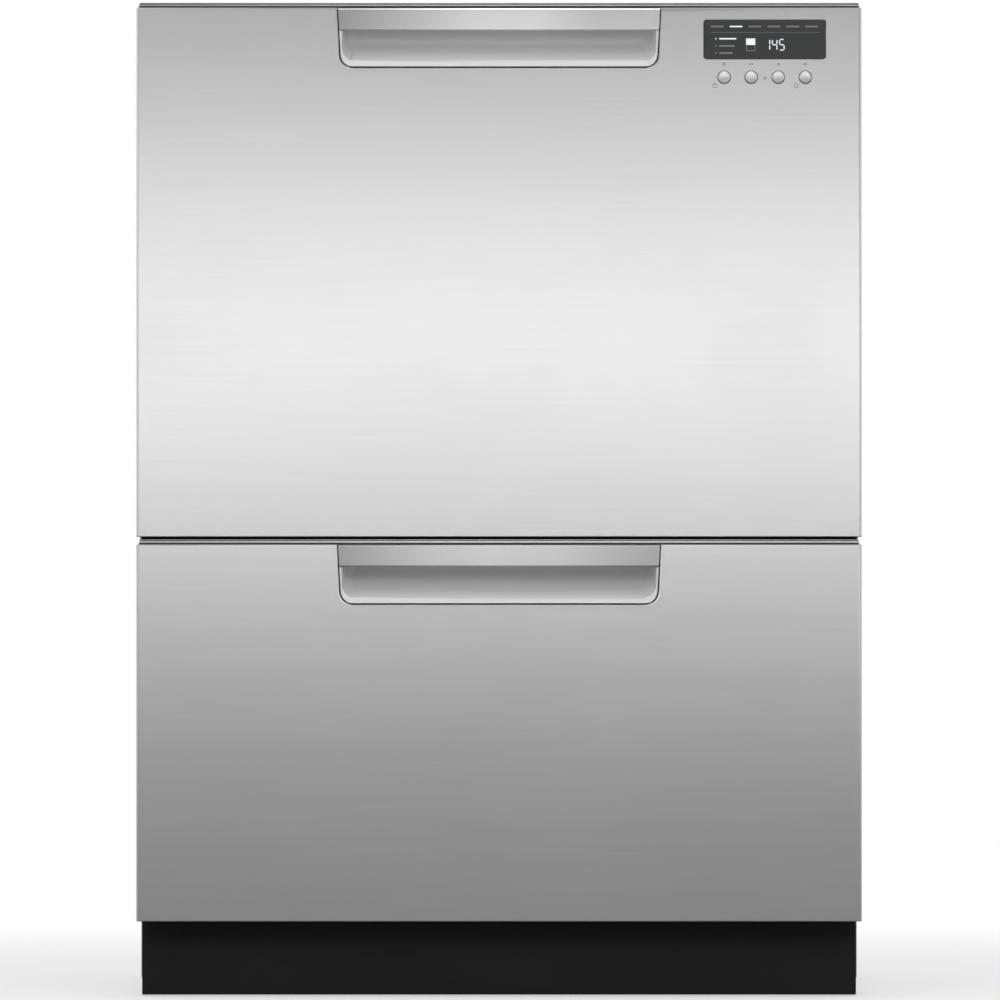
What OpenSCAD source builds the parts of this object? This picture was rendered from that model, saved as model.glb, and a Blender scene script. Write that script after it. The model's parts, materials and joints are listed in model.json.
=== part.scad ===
// Dishwasher drawer: two stacked wash drawers in one cabinet, each with its own front, tub, lid and racks.
// Frame: +Z up, -Y towards the user, origin on the floor under the middle of the cabinet. Millimetres.

/* [Overall size] */
// Width across the drawer fronts
overall_w = 599; // [585:1:615]
// Height from the floor to the top of the upper trim, feet wound in
overall_h = 821; // [810:1:850]
// Depth from the button faces to the rear edge of the cabinet
overall_d = 573; // [560:1:600]

/* [Drawer fronts] */
// Thickness of a front, outside the cabinet
front_t = 20; // [18:1:26]
// Gap between a closed front and the cabinet
front_gap = 2; // [1:0.5:4]
// Stainless sheet of a front
skin_t = 1; // [0.8:0.1:1.5]
// Outside radius of a front's upright edges
skin_r = 2.5; // [1.5:0.5:4]
// Depth of the sheet's folded edges
skin_return = 18; // [14:1:18]
// Height of the lower front's sheet
lower_front_h = 311.2; // [305:0.1:315]
// Dark gap between the two fronts
fronts_gap = 2.3; // [1.5:0.1:5]
// Height of the trim strip on top of a front
trim_h = 4; // [3:0.5:6]
// How far the trim stops short of a front's side edge
trim_inset = 1.2; // [0.5:0.1:3]
// Slant of the trim's ends, from upright
trim_slant = 30; // [10:5:45]
// Plastic wall of the front's liner
liner_t = 2; // [1.5:0.5:3]
// Height of the liner's rim inside the sheet
liner_rim = 10; // [6:1:12]

/* [Handle] */
// Width of the hand pocket at its top
pocket_w = 268.5; // [200:0.5:300]
// How much narrower the pocket is at its bottom
pocket_taper = 5; // [0:0.5:10]
// Height of the hand pocket
pocket_h = 49.5; // [44:0.5:60]
// Radius of the pocket's lower corners
pocket_r = 10; // [6:1:16]
// Gap between the moulded cup's back and the lid's front edge
cup_gap = 1.5; // [1:0.5:4]
// Wall of the moulded cup
cup_t = 1.5; // [1:0.5:2.5]
// How far the cup's ceiling lies under the top of the front
cup_drop = 5; // [5:0.5:8]
// Height of the grip bar
bar_h = 18.5; // [14:0.5:22]
// Thickness of the grip bar
bar_t = 7; // [5:0.5:9]
// Gap left in a welded joint, in the cup, at the tub's shelves and in the base rack
weld_gap = 0.02; // [0.01:0.01:0.05]

/* [Controls] */
// Width of the display window
display_w = 100; // [80:1:110]
// Height of the display window
display_h = 31.5; // [24:0.5:34]
// Thickness of the display window
display_t = 4; // [3:0.5:5]
// Radius of the display window's corners
display_r = 2; // [1:0.5:4]
// Middle of the display window, from the front's right edge
display_side = 80.2; // [74:0.1:100]
// Top of the display window, under the top of the upper front
display_drop = 10.6; // [9:0.1:14]
// Radius of a button
button_r = 5; // [3.5:0.5:6]
// How far a button stands proud of the front
button_proud = 1; // [0.5:0.5:2]
// Length of a button behind the front's face
button_len = 9; // [8:1:10]
// Travel of a button
button_travel = 1.5; // [1:0.5:2]
// Distance between buttons
button_pitch = 22.35; // [18:0.05:24]
// Button row's middle, under the display window
button_drop = 15.3; // [13:0.1:17]
// Depth of the housing behind the controls
housing_d = 14; // [13:0.5:15]
// Margin of the housing round the display window
housing_margin = 4; // [3:1:6]

/* [Cabinet] */
// How far the cabinet's side stands in from a front's side edge
cabinet_inset = 2.5; // [1.5:0.5:5]
// How far the cabinet's top lies under the upper trim's top
cabinet_drop = 3; // [2:0.5:4]
// Folded cabinet sheet
sheet_t = 1.2; // [0.8:0.1:1.6]
// Recess behind the rear panel
rear_recess = 36; // [30:1:40]
// Depth of the flanges round the rear panel
rear_flange = 12; // [8:1:20]
// Radius of the side fixing holes
fixing_r = 2.5; // [2:0.25:3.5]
// Distance between side fixing holes, front to back
fixing_span_y = 400; // [300:10:440]
// Side fixing holes, from the cabinet's top and bottom edges
fixing_end = 82; // [76:1:90]
// Height of the rail between the drawers
rail_h = 16.5; // [10:0.5:30]
// Depth of the rail between the drawers
rail_d = 36; // [20:1:40]
// Clearance of the cabinet's lower front corner over the toe kick
notch_clear = 4; // [2:1:10]
// Vent slots in the rear panel
vent_count = 11; // [5:2:15]
// Distance between vent slots
vent_pitch = 26; // [22:1:30]
// Width of a vent slot
vent_w = 18; // [10:1:20]
// Height of a vent slot
vent_h = 6; // [4:1:10]
// How far the rail's underside lies under the lower trim's top
rail_drop = 2.5; // [1:0.5:3]

/* [Base] */
// Top edge of the toe kick above the floor
kick_top = 62; // [50:1:62]
// Gap between the toe kick and the lower front
kick_reveal = 0.7; // [0.5:0.1:3]
// Gap between the toe kick and the floor
kick_lift = 1; // [0.5:0.5:5]
// How far the toe kick is set back from the fronts' faces
kick_setback = 40; // [30:1:60]
// Depth of the toe kick's side returns
kick_return = 32; // [20:1:40]
// How far the toe kick's side stands in from a front's side edge
kick_inset = 3.8; // [3:0.1:8]
// Sheet of the toe kick and of the rail
kick_t = 1.5; // [1:0.1:2]
// Width of the toe kick's rear tabs
kick_tab = 16; // [12:1:24]
// Base pan sheet
pan_t = 1.5; // [1:0.1:2.5]
// Height of the base pan's edge
pan_h = 12; // [10:1:13]
// Radius of a foot's pad
foot_r = 17; // [14:1:19]
// Thickness of a foot's pad
foot_pad_h = 7; // [5:1:8]
// Width across the flats of a foot's nut
foot_nut_w = 19; // [17:1:24]
// Height of a foot's nut
foot_nut_h = 5; // [4:0.5:5]
// Radius of a foot's stem
foot_stem_r = 5; // [4:0.5:6]
// Top of a foot's stem above the floor
foot_stem_top = 88; // [82:1:95]
// Height of the pan's boss that takes a foot's stem
foot_boss_h = 20; // [16:1:24]
// Wall of the pan's boss
foot_boss_wall = 8; // [5:1:10]
// Gap between a foot's nut and the base pan
foot_gap = 2; // [1:0.5:6]
// Foot's distance from the cabinet's side
foot_side = 36; // [30:1:50]
// Foot's distance from the pan's front or rear edge
foot_end = 32; // [28:1:50]

/* [Runners] */
// Height of a runner's fixed member
runner_h = 45; // [42:1:48]
// Width of a runner, cabinet side to tub side
runner_w = 12.8; // [12.5:0.1:14]
// Sheet of the runner members
runner_t = 1.2; // [1:0.1:1.5]
// Height of the ball tracks between members
ball_gap = 3; // [2.5:0.1:3.5]
// Sideways gap between the members' webs
web_gap = 1; // [0.8:0.1:1.2]
// Play of a ball strip in its track
ball_play = 0.2; // [0.1:0.05:0.4]
// Width of a ball strip
ball_strip_w = 5; // [4:0.5:6]
// Length of a ball strip
ball_strip_len = 90; // [60:5:110]
// How much farther a drawer travels than its runners are long
runner_over = 20; // [0:5:40]
// Runner's front end, behind the cabinet's front edge
runner_start = 4; // [2:1:8]
// Middle of the runner, under the tub's rim
runner_drop = 60; // [55:1:70]
// Height of the blocks that join the runner to the tub
runner_block_h = 20; // [16:1:24]
// Length of the blocks that join the runner to the tub
runner_block_len = 40; // [30:1:60]
// Travel of a drawer
drawer_travel = 490; // [450:5:495]

/* [Tub] */
// How far the upper tub's rim lies under the top of its front
upper_rim_drop = 57; // [54:1:60]
// How far the lower tub's rim lies under the top of its front
lower_rim_drop = 23.9; // [22.5:0.1:26]
// Gap between the toe kick and the underside of the lower drawer's pump
under_gap = 6; // [5:0.5:12]
// Wall of a tub
tub_t = 3.5; // [3:0.5:5]
// Outside radius of a tub's upright corners
tub_r = 45; // [40:1:50]
// Space for the runner between the cabinet's inside and a tub
tub_side_gap = 23.8; // [23:0.1:26]
// Tub's front wall behind the back of its front
tub_setback = 16; // [15:0.5:18]
// Tub's back wall in front of the rear panel
tub_back_gap = 14.5; // [14:0.5:20]
// How far the rim flange stands out
flange_w = 6; // [4:0.5:6.5]
// Thickness of the rim flange
flange_t = 3; // [2.5:0.5:4]
// Gap between each rim shelf and the hand pocket
shelf_gap = 16; // [10:1:24]
// Length of each rim shelf
shelf_len = 90; // [60:1:100]
// Height of the tub's outside bands
band_h = 4; // [3:0.5:6]
// How far the bands stand out
band_w = 2; // [1:0.5:3]
// Number of bands
band_count = 2; // [1:1:2]
// Lower band above the tub's floor
band_lift = 40; // [20:5:60]
// Distance between bands
band_pitch = 60; // [40:5:60]
// Radius of the sump
sump_r = 150; // [140:1:155]
// Depth of the sump
sump_h = 18; // [16:1:20]
// Ledge that holds the filter plate
sump_ledge = 10; // [8:1:10]
// Radius of the drain hole
drain_r = 12; // [10:1:14]
// Drain hole's distance from the sump's middle
drain_offset = 100; // [95:1:110]

/* [Lid] */
// Travel of a lid between idle and sealed
lid_travel = 6; // [5:0.5:6]
// Gap that is left when the lid is down
lid_rest_gap = 0.3; // [0.2:0.1:0.5]
// Width of the lid seal
seal_w = 8; // [6:0.5:9]
// Height of the lid seal
seal_h = 7; // [6:0.5:8]
// How far the seal stands out of its groove
seal_proud = 2; // [1.5:0.5:3]
// Thickness of the lid
lid_h = 11.7; // [11:0.1:12]
// Skin left over and between the lid's hollows
lid_t = 3; // [2:0.5:4]
// Hollows along the lid and across it
lid_cells = 4; // [2:1:6]
// Lid's rim outside the seal, at the sides
lid_edge_x = 3.8; // [2:0.1:4.5]
// Lid's rim outside the seal, at the front and back
lid_edge_y = 1.3; // [1:0.1:3]
// Underside of the lug above the lid's underside
lug_lift = 4; // [2:0.5:5]
// Width of the lug that the actuator lifts
lug_w = 6; // [5:0.5:8]
// Play of the lug in the actuator's slot
lug_play = 0.5; // [0.3:0.1:0.8]
// Length of a lid actuator
actuator_len = 90; // [70:1:120]
// Height of a lid actuator
actuator_h = 38; // [34:1:44]
// Thickness of a lid actuator
actuator_w = 12; // [11:0.5:12]
// Underside of a lid actuator above the tub's rim
actuator_lift = 2; // [0:0.5:4]

/* [Wash system] */
// Height of the wash pump under the tub
pump_h = 36.5; // [32:0.5:36.5]
// Radius of the wash pump
pump_r = 80; // [60:1:90]
// Radius of the wash pump's lower part
pump_foot_r = 66; // [50:1:80]
// Height of the wash pump's upper part
pump_top_h = 14; // [10:1:18]
// How far the drain pump sits behind the drain hole
drain_pump_shift = 8; // [6:1:10]
// Radius of the drain pump's pipe
pipe_r = 9.5; // [8:0.5:11]
// Radius of the drain pump
drain_pump_r = 24; // [20:1:26]
// Height of the drain pump
drain_pump_h = 32; // [28:1:34]
// Radius of the post that carries the spray arm
post_r = 12; // [9:0.5:14]
// Radius of the post's collar and cap
post_collar_r = 17; // [15:0.5:20]
// Height of the post's collar and cap
post_collar_h = 4; // [3:0.5:5]
// Play of the spray arm round its post
post_play = 0.08; // [0.04:0.02:0.2]
// Gap between the spray arm and the post's collar and cap
arm_gap = 0.4; // [0.3:0.1:0.8]
// Underside of the spray arm above the tub's floor
arm_lift = 8; // [7:0.5:9]
// Thickness of the spray arm
arm_h = 12; // [9:0.5:13]
// Radius that the spray arm sweeps
arm_r = 205; // [190:1:215]
// Radius of the spray arm's hub
arm_hub_r = 26; // [24:1:34]
// Half width of a blade at the hub
arm_root = 20; // [16:1:24]
// Half width of a blade at its tip
arm_tip = 12; // [9:1:15]
// Jets along each blade
jet_count = 5; // [3:1:7]
// Length of a jet
jet_len = 8; // [5:1:10]
// Width of a jet
jet_w = 3; // [2:0.5:4]
// Depth of a jet
jet_depth = 4; // [2:0.5:6]
// How far the jets stand off the blade's middle, to either side in turn
jet_shift = 4; // [0:0.5:6]
// Thickness of the filter plate
filter_t = 2; // [1.5:0.5:2.5]
// Slots in the filter plate's inner ring
slot_count = 24; // [12:2:36]
// Inner ring of slots, from the middle
slot_start = 50; // [40:1:52]
// Length of a slot in the inner ring
slot_len = 16; // [8:1:18]
// Width of a slot
slot_w = 4; // [3:0.5:5]
// Slots in the filter plate's outer ring, beside the drain filter
long_slot_count = 9; // [3:2:13]
// Outer ring of slots, from the middle
long_slot_start = 84; // [76:1:90]
// Length of a slot in the outer ring
long_slot_len = 52; // [30:1:60]
// Angle between slots in the outer ring
long_slot_step = 30; // [20:1:30]
// Radius of the drain filter
filter_cup_r = 24; // [20:1:28]
// Length of the drain filter under the plate
filter_cup_h = 13; // [8:1:14]
// Width of the drain filter's rim
filter_rim = 4; // [3:0.5:6]
// Wall of the drain filter
filter_wall = 2; // [1.5:0.5:3]

/* [Racks] */
// Wire of the racks
wire = 4; // [3:0.5:5]
// Gap between the base rack and the tub's inside
rack_clear = 18; // [16:1:24]
// Underside of the base rack above the tub's floor
rack_lift = 32; // [30:1:36]
// Height of the base rack's sides
rack_h = 76; // [70:1:80]
// Distance between the base rack's wires
rack_pitch = 46; // [40:1:60]
// Gaps between the wires up the base rack's sides
side_gaps = 2; // [1:1:3]
// Length of the tines
tine_h = 78; // [70:1:80]
// Distance between tines
tine_pitch = 36; // [30:1:45]
// Tines in a row
tine_count = 8; // [6:1:8]
// Rows of tines, front to back
row_count = 6; // [4:1:6]
// Row that folds down, counted from the front
fold_row = 3; // [2:1:4]
// How far the folding tines lean back when up
fold_lean = 6; // [3:1:10]
// Distance between rows of tines
row_pitch = 58; // [50:1:62]
// First row of tines behind the rack's front
first_row = 38; // [34:1:50]
// Radius of the hinge rods
rod_r = 1.9; // [1.5:0.1:2.2]
// Play of a rod or a stem in its hole
rod_play = 0.08; // [0.04:0.02:0.2]
// Play of a button in its hole
button_play = 0.1; // [0.06:0.02:0.3]
// Size of an eye that holds a rod
eye = 9; // [8:0.5:10]
// Cup rack's rod inside the base rack's side
hinge_inset = 6; // [5:0.5:8]
// Width of a cup rack
cup_rack_w = 84; // [70:1:88]
// Length of a cup rack
cup_rack_len = 270; // [220:1:290]
// Cup rack's front end behind the base rack's front
cup_rack_start = 70; // [60:1:90]
// Wires across a cup rack, after the first
cup_rack_bars = 8; // [6:1:10]
// Wires along a cup rack
cup_rack_rails = 3; // [2:1:4]
// Width of the cutlery basket
basket_w = 210; // [160:1:240]
// Depth of the cutlery basket
basket_d = 66; // [60:1:72]
// Height of the cutlery basket
basket_h = 100; // [80:1:110]
// Wall of the cutlery basket
basket_t = 2; // [1.5:0.5:3]
// Compartments in the cutlery basket
basket_cells = 3; // [2:1:4]
// Height of the basket's handle over its rim
basket_handle_h = 32; // [26:1:40]
// Thickness of the basket's handle
basket_handle_t = 7; // [5:0.5:9]
// Gap between the basket and the base rack's back
basket_gap = 4; // [3:0.5:8]

/* [Dispenser] */
// Width of the dispenser
dispenser_w = 190; // [170:1:220]
// Height of the dispenser
dispenser_h = 70; // [64:1:72]
// Depth of the dispenser
dispenser_d = 14; // [13:0.5:15]
// Gap from the tub's rim down to the dispenser
dispenser_drop = 22; // [18:1:26]
// Width of the detergent well
well_w = 80; // [60:1:90]
// Height of the detergent well
well_h = 46; // [36:1:48]
// Depth of the detergent well
well_d = 12; // [10:0.5:12]
// Thickness of the detergent door
door_t = 2.5; // [2:0.5:3]
// Overlap of the door round the well
door_lap = 3; // [2:0.5:4]
// Gap between the door and the dispenser
door_gap = 0.3; // [0.2:0.1:0.5]
// Radius of the rinse aid cap
cap_r = 19; // [15:1:22]
// Height of the rinse aid cap
cap_h = 5; // [3:0.5:6]
// Thickness of each ear that holds the detergent door's rod
ear_t = 4; // [3:0.5:5]
// Gap between the detergent door and its ears
ear_gap = 1; // [0.5:0.5:2]

/* [Rear connections] */
// Water inlet, from the cabinet's left side
inlet_side = 91; // [76:1:140]
// Outer drain tail, from the cabinet's right side
tail_side = 131; // [120:1:140]
// Distance between the drain tails
tail_pitch = 45; // [40:1:50]
// Cord gland, from the cabinet's right side
gland_side = 71; // [64:1:86]
// Radius of the water inlet's male thread
inlet_r = 13.2; // [13:0.1:13.5]
// Length of the water inlet's thread
inlet_len = 16; // [12:1:20]
// Width of the inlet valve's body
valve_w = 38; // [34:1:44]
// Height of the inlet valve's body
valve_h = 34; // [30:1:38]
// Gap between the inlet valve and the base pan's edge
valve_gap = 3; // [1:0.5:8]
// Depth of the inlet valve's body
valve_d = 34; // [28:1:40]
// Radius of a drain hose tail
tail_r = 10.5; // [9:0.5:12]
// Length of a drain hose tail
tail_len = 26; // [20:1:30]
// Wall of a drain hose tail
tail_t = 2; // [1.5:0.5:3]
// Radius of the cord gland's bore
gland_bore_r = 4.2; // [3.5:0.1:5]
// Radius of the cord gland's body
gland_r = 8; // [7:0.5:10]
// Length of the cord gland
gland_len = 16; // [12:1:20]
// Flange of a drain tail or the gland, inside the rear panel
port_flange = 4; // [2:0.5:5]
// Thickness of the shoulder of the inlet and the drain tails, outside the rear panel
shoulder_t = 2; // [1:0.5:4]
// How far the shoulder stands out round its pipe
shoulder_w = 3; // [2:0.5:4]
// Play of a connection in the rear panel's hole
port_play = 0.5; // [0.3:0.1:1]

/* [Hidden] */
$fn = 48;
cut = 1; // how far a cutter runs past the face it cuts
fit_gap = 0.3; // gap round the display window and the pocket's parts
quarter_turn = 90; // degrees
arc_steps = 8; // flats in a pocket corner
button_count = 4; // one node each
// Fronts
face_y = -overall_d / 2 + button_proud;
front_back_y = face_y + front_t;
half_w = overall_w / 2;
upper_top = overall_h - trim_h;
lower_bottom = kick_top + kick_reveal;
lower_top = lower_bottom + lower_front_h;
upper_bottom = lower_top + trim_h + fronts_gap;
// Cabinet
ground_gap = foot_pad_h + foot_nut_h + foot_gap;
cab_x = half_w - cabinet_inset;
in_x = cab_x - sheet_t;
cab_y0 = front_back_y + front_gap;
cab_y1 = overall_d / 2;
cab_z1 = overall_h - cabinet_drop;
rear_y = cab_y1 - rear_recess;
fixing_z = [ground_gap + fixing_end, cab_z1 - fixing_end];
kick_y = face_y + kick_setback;
kick_x = half_w - kick_inset;
pan_y0 = kick_y + kick_return;
notch_z = kick_top + notch_clear;
rail_z = lower_top + trim_h - rail_drop;
foot_x = in_x - foot_side;
foot_y = [pan_y0 + foot_end, rear_y - foot_end];
port_z = ground_gap + pan_h + valve_gap + valve_h / 2;
inlet_x = inlet_side - in_x;
tail_x = in_x - tail_side - tail_pitch;
gland_x = in_x - gland_side;
shoulder_y = rear_y + sheet_t + shoulder_t;
// Tub
lower_rim = lower_top - lower_rim_drop;
upper_rim = upper_top - upper_rim_drop;
tub_h = lower_rim - kick_top - under_gap - pump_h - tub_t - sump_h;
tub_x = in_x - tub_side_gap;
tub_y0 = front_back_y + tub_setback;
tub_y1 = rear_y - tub_back_gap;
mid_y = (tub_y0 + tub_y1) / 2;
inner_x = tub_x - tub_t;
inner_y0 = tub_y0 + tub_t;
inner_y1 = tub_y1 - tub_t;
inner_r = tub_r - tub_t;
// Lid and its seal, measured from the tub's outside
seal_mid = (flange_w - tub_t) / 2;
lid_over_x = seal_mid + seal_w / 2 + lid_edge_x;
lid_over_y = seal_mid + seal_w / 2 + lid_edge_y;
cup_back_y = tub_y0 - lid_over_y - cup_gap;
// Runners
runner_len = drawer_travel - runner_over;
runner_y0 = cab_y0 + runner_start;
runner_y1 = runner_y0 + runner_len;
mid_h = runner_h - 2 * (runner_t + ball_gap);
inner_h = mid_h - 2 * (runner_t + ball_gap);
mid_web_x = in_x - runner_t - web_gap;
strip_x0 = in_x - runner_w + 2 * runner_t;
strip_h = ball_gap - ball_play;
// Racks
rack_x = inner_x - rack_clear;
rack_y0 = inner_y0 + rack_clear;
rack_y1 = inner_y1 - rack_clear;
rack_w = 2 * rack_x;
rack_d = rack_y1 - rack_y0;
rack_nx = ceil(rack_w / rack_pitch);
rack_ny = ceil(rack_d / rack_pitch);
hinge_x = rack_x - hinge_inset;
fixed_rows = [for (i = [1:row_count]) if (i != fold_row) i];
fold_y = rack_y0 + first_row + (fold_row - 1) * row_pitch;
rack_foot = wire + weld_gap; // what stands on the rack's floor, above its underside
fold_z = rack_foot + wire + eye / 2; // folding rod above the rack's underside
cup_z = rack_h + eye / 2; // cup rack's rod above the rack's underside
cup_y0 = rack_y0 + cup_rack_start;
cup_y1 = cup_y0 + cup_rack_len;
basket_y1 = rack_y1 - wire - basket_gap;
// Dispenser
dispenser_lift = tub_h - dispenser_drop - dispenser_h;
dispenser_y = inner_y0 + dispenser_d;
well_x = -dispenser_w / 4;
well_lift = dispenser_lift + (dispenser_h - well_h) / 2;
door_half = well_w / 2 + door_lap;
door_axis_y = dispenser_y + door_gap + door_t + rod_r / 2;
door_axis_lift = well_lift - door_lap;
// Button and display places
display_x = half_w - display_side;
display_top = upper_top - display_drop;
button_z = display_top - display_h - button_drop;

// ---------- shared shapes ----------

// A block between two corners
module block(low, high) {
    translate(low) cube(high - low);
}

// A part and its mirror image across the middle of the cabinet
module both_sides() {
    children();
    mirror([1, 0, 0]) children();
}

// A rectangle with round corners
module round_rect(low, high, r) {
    translate([low[0] + r, low[1]]) square([high[0] - low[0] - 2 * r, high[1] - low[1]]);
    translate([low[0], low[1] + r]) square([high[0] - low[0], high[1] - low[1] - 2 * r]);
    for (x = [low[0] + r, high[0] - r], y = [low[1] + r, high[1] - r])
        translate([x, y]) circle(r);
}

// The tub's outline seen from above, grown by a margin
module tub_outline(grow) {
    round_rect([-tub_x - grow, tub_y0 - grow], [tub_x + grow, tub_y1 + grow], tub_r + grow);
}

// A round bar along X, Y or Z
module rod_x(x0, x1, y, z, r) { translate([x0, y, z]) rotate([0, 90, 0]) cylinder(r = r, h = x1 - x0); }
module rod_y(x, y0, y1, z, r) { translate([x, y0, z]) rotate([-90, 0, 0]) cylinder(r = r, h = y1 - y0); }
module rod_z(x, y, z0, z1, r) { translate([x, y, z0]) cylinder(r = r, h = z1 - z0); }

// A flat shape drawn in X and Z, made solid from y0 to y1
module upright(y0, y1) {
    translate([0, y1, 0]) rotate([90, 0, 0]) linear_extrude(y1 - y0) children();
}

// Bars both ways in a rectangle, from the origin
module bars(w, d, nx, ny) {
    for (i = [0:nx]) translate([i * (w - wire) / nx, 0]) square([wire, d]);
    for (j = [0:ny]) translate([0, j * (d - wire) / ny]) square([w, wire]);
}

// ---------- cabinet ----------

module fixing_holes(r) {
    for (side = [-1, 1], y = [-1, 1], z = fixing_z)
        rod_x(side * cab_x - sheet_t - cut, side * cab_x + sheet_t + cut, y * fixing_span_y / 2, z, r);
}

module cabinet_wrap() {
    color("lightgray") difference() {
        block([-cab_x, cab_y0, ground_gap], [cab_x, cab_y1, cab_z1]);
        block([-in_x, cab_y0 - cut, ground_gap - cut], [in_x, cab_y1 + cut, cab_z1 - sheet_t]);
        block([-cab_x - cut, cab_y0 - cut, ground_gap - cut], [cab_x + cut, pan_y0, notch_z]);
        fixing_holes(fixing_r);
    }
}

module port_hole(x, r) {
    rod_y(x, rear_y - cut, rear_y + sheet_t + cut, port_z, r + port_play);
}

module rear_panel() {
    color("darkgray") difference() {
        block([-in_x, rear_y, ground_gap], [in_x, rear_y + rear_flange, cab_z1 - sheet_t]);
        block([-in_x + sheet_t, rear_y + sheet_t, ground_gap + sheet_t],
            [in_x - sheet_t, rear_y + rear_flange + cut, cab_z1 - 2 * sheet_t]);
        port_hole(inlet_x, inlet_r);
        port_hole(tail_x, tail_r);
        port_hole(tail_x + tail_pitch, tail_r);
        port_hole(gland_x, gland_r);
        for (i = [0:vent_count - 1]) {
            x = (i - (vent_count - 1) / 2) * vent_pitch;
            translate([x - vent_w / 2, rear_y - cut, upper_rim - vent_h / 2])
                cube([vent_w, sheet_t + 2 * cut, vent_h]);
        }
    }
}

// Screw holes that join the toe kick's tabs to the base pan's front edge
module kick_screws(y0, y1) {
    for (side = [-1, 1])
        rod_y(side * (kick_x - kick_tab / 2), y0 - cut, y1 + cut, ground_gap + pan_h / 2, fixing_r);
}

module base_pan() {
    color("silver") difference() {
        union() {
            difference() {
                block([-in_x, pan_y0, ground_gap], [in_x, rear_y, ground_gap + pan_h]);
                block([-in_x + pan_t, pan_y0 + pan_t, ground_gap + pan_t],
                    [in_x - pan_t, rear_y - pan_t, ground_gap + pan_h + cut]);
            }
            for (x = [-foot_x, foot_x], y = foot_y)
                rod_z(x, y, ground_gap + pan_t / 2, ground_gap + foot_boss_h, foot_stem_r + foot_boss_wall);
        }
        for (x = [-foot_x, foot_x], y = foot_y)
            rod_z(x, y, ground_gap - cut, ground_gap + foot_boss_h + cut, foot_stem_r + rod_play);
        kick_screws(pan_y0, pan_y0 + pan_t);
    }
}

module toe_kick() {
    color("black") difference() {
        block([-kick_x, kick_y, kick_lift], [kick_x, pan_y0, kick_top]);
        block([-kick_x + kick_t, kick_y + kick_t, kick_lift - cut],
            [kick_x - kick_t, pan_y0 - kick_t, kick_top + cut]);
        block([-kick_x + kick_tab, pan_y0 - kick_t - cut, kick_lift - cut],
            [kick_x - kick_tab, pan_y0 + cut, kick_top + cut]);
        kick_screws(pan_y0 - kick_t, pan_y0);
    }
}

module mid_rail() {
    color("dimgray") difference() {
        block([-in_x, cab_y0, rail_z], [in_x, cab_y0 + rail_d, rail_z + rail_h]);
        block([-in_x - cut, cab_y0 + kick_t, rail_z + kick_t],
            [in_x + cut, cab_y0 + rail_d + cut, rail_z + rail_h - kick_t]);
    }
}

module foot(x, y) {
    color("dimgray") {
        rod_z(x, y, 0, foot_pad_h, foot_r);
        translate([x, y, foot_pad_h]) cylinder(r = foot_nut_w / sqrt(3), h = foot_nut_h, $fn = 6);
        rod_z(x, y, foot_pad_h, foot_stem_top, foot_stem_r);
    }
}

// ---------- runners ----------

// A folded channel, open towards -X, with its web at x1
module channel(x0, x1, h) {
    difference() {
        translate([x0, -h / 2]) square([x1 - x0, h]);
        translate([x0 - cut, -h / 2 + runner_t]) square([x1 - x0 + cut - runner_t, h - 2 * runner_t]);
    }
}

module fixed_runner(rim) {
    translate([0, 0, rim - runner_drop]) both_sides()
        upright(runner_y0, runner_y1) channel(in_x - runner_w, in_x, runner_h);
}

module fixed_runners() {
    color("silver") {
        fixed_runner(upper_rim);
        fixed_runner(lower_rim);
    }
}

// The middle member carries the ball strips of both tracks
module runner_mid(rim) {
    color("gainsboro") translate([0, 0, rim - runner_drop]) both_sides() {
        upright(runner_y0, runner_y1) channel(in_x - runner_w + runner_t / 2, mid_web_x, mid_h);
        for (y = [runner_y0, runner_y1 - ball_strip_len]) upright(y, y + ball_strip_len) {
            for (z = [mid_h / 2, mid_h / 2 - runner_t - strip_h]) {
                translate([strip_x0, z]) square([ball_strip_w, strip_h]);
                translate([strip_x0, -z - strip_h]) square([ball_strip_w, strip_h]);
            }
        }
    }
}

// The inner member is bolted to the tub through blocks, and its front end meets the liner
module runner_inner(rim) {
    color("gainsboro") translate([0, 0, rim - runner_drop]) both_sides() {
        upright(front_back_y, runner_y1) mirror([1, 0, 0])
            channel(-in_x + runner_w - ball_strip_w - 2 * runner_t, -in_x + runner_w, inner_h);
        for (y = [front_back_y, mid_y - runner_block_len / 2, runner_y1 - runner_block_len])
            translate([tub_x, y, -runner_block_h / 2])
                cube([in_x - runner_w + runner_t / 2 - tub_x, runner_block_len, runner_block_h]);
    }
}

// ---------- drawer fronts ----------

// A front's bottom and top, chosen by drawer
function front_z(upper) = upper ? [upper_bottom, upper_top] : [lower_bottom, lower_top];

// Points along a round corner
function corner(x, z, r, start) =
    [for (i = [0:arc_steps]) let (a = start + quarter_turn * i / arc_steps) [x + r * cos(a), z + r * sin(a)]];

// The hand pocket's outline in X and Z, drawn in by a margin, from the front's top down
module pocket_outline(top, inset) {
    half = pocket_w / 2 - inset;
    low_half = half - pocket_taper / 2;
    r = pocket_r - inset;
    z = top - pocket_h + pocket_r;
    polygon(concat(
        [[half, top + cut], [-half, top + cut]],
        corner(r - low_half, z, r, 180),
        corner(low_half - r, z, r, 270)));
}

// The display window's outline in X and Z, grown by a margin
module display_outline(grow) {
    round_rect([display_x - display_w / 2 - grow, display_top - display_h - grow],
        [display_x + display_w / 2 + grow, display_top + grow], display_r);
}

module button_row() {
    for (i = [0:button_count - 1])
        translate([display_x + (i - (button_count - 1) / 2) * button_pitch, 0, button_z]) children();
}

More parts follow.
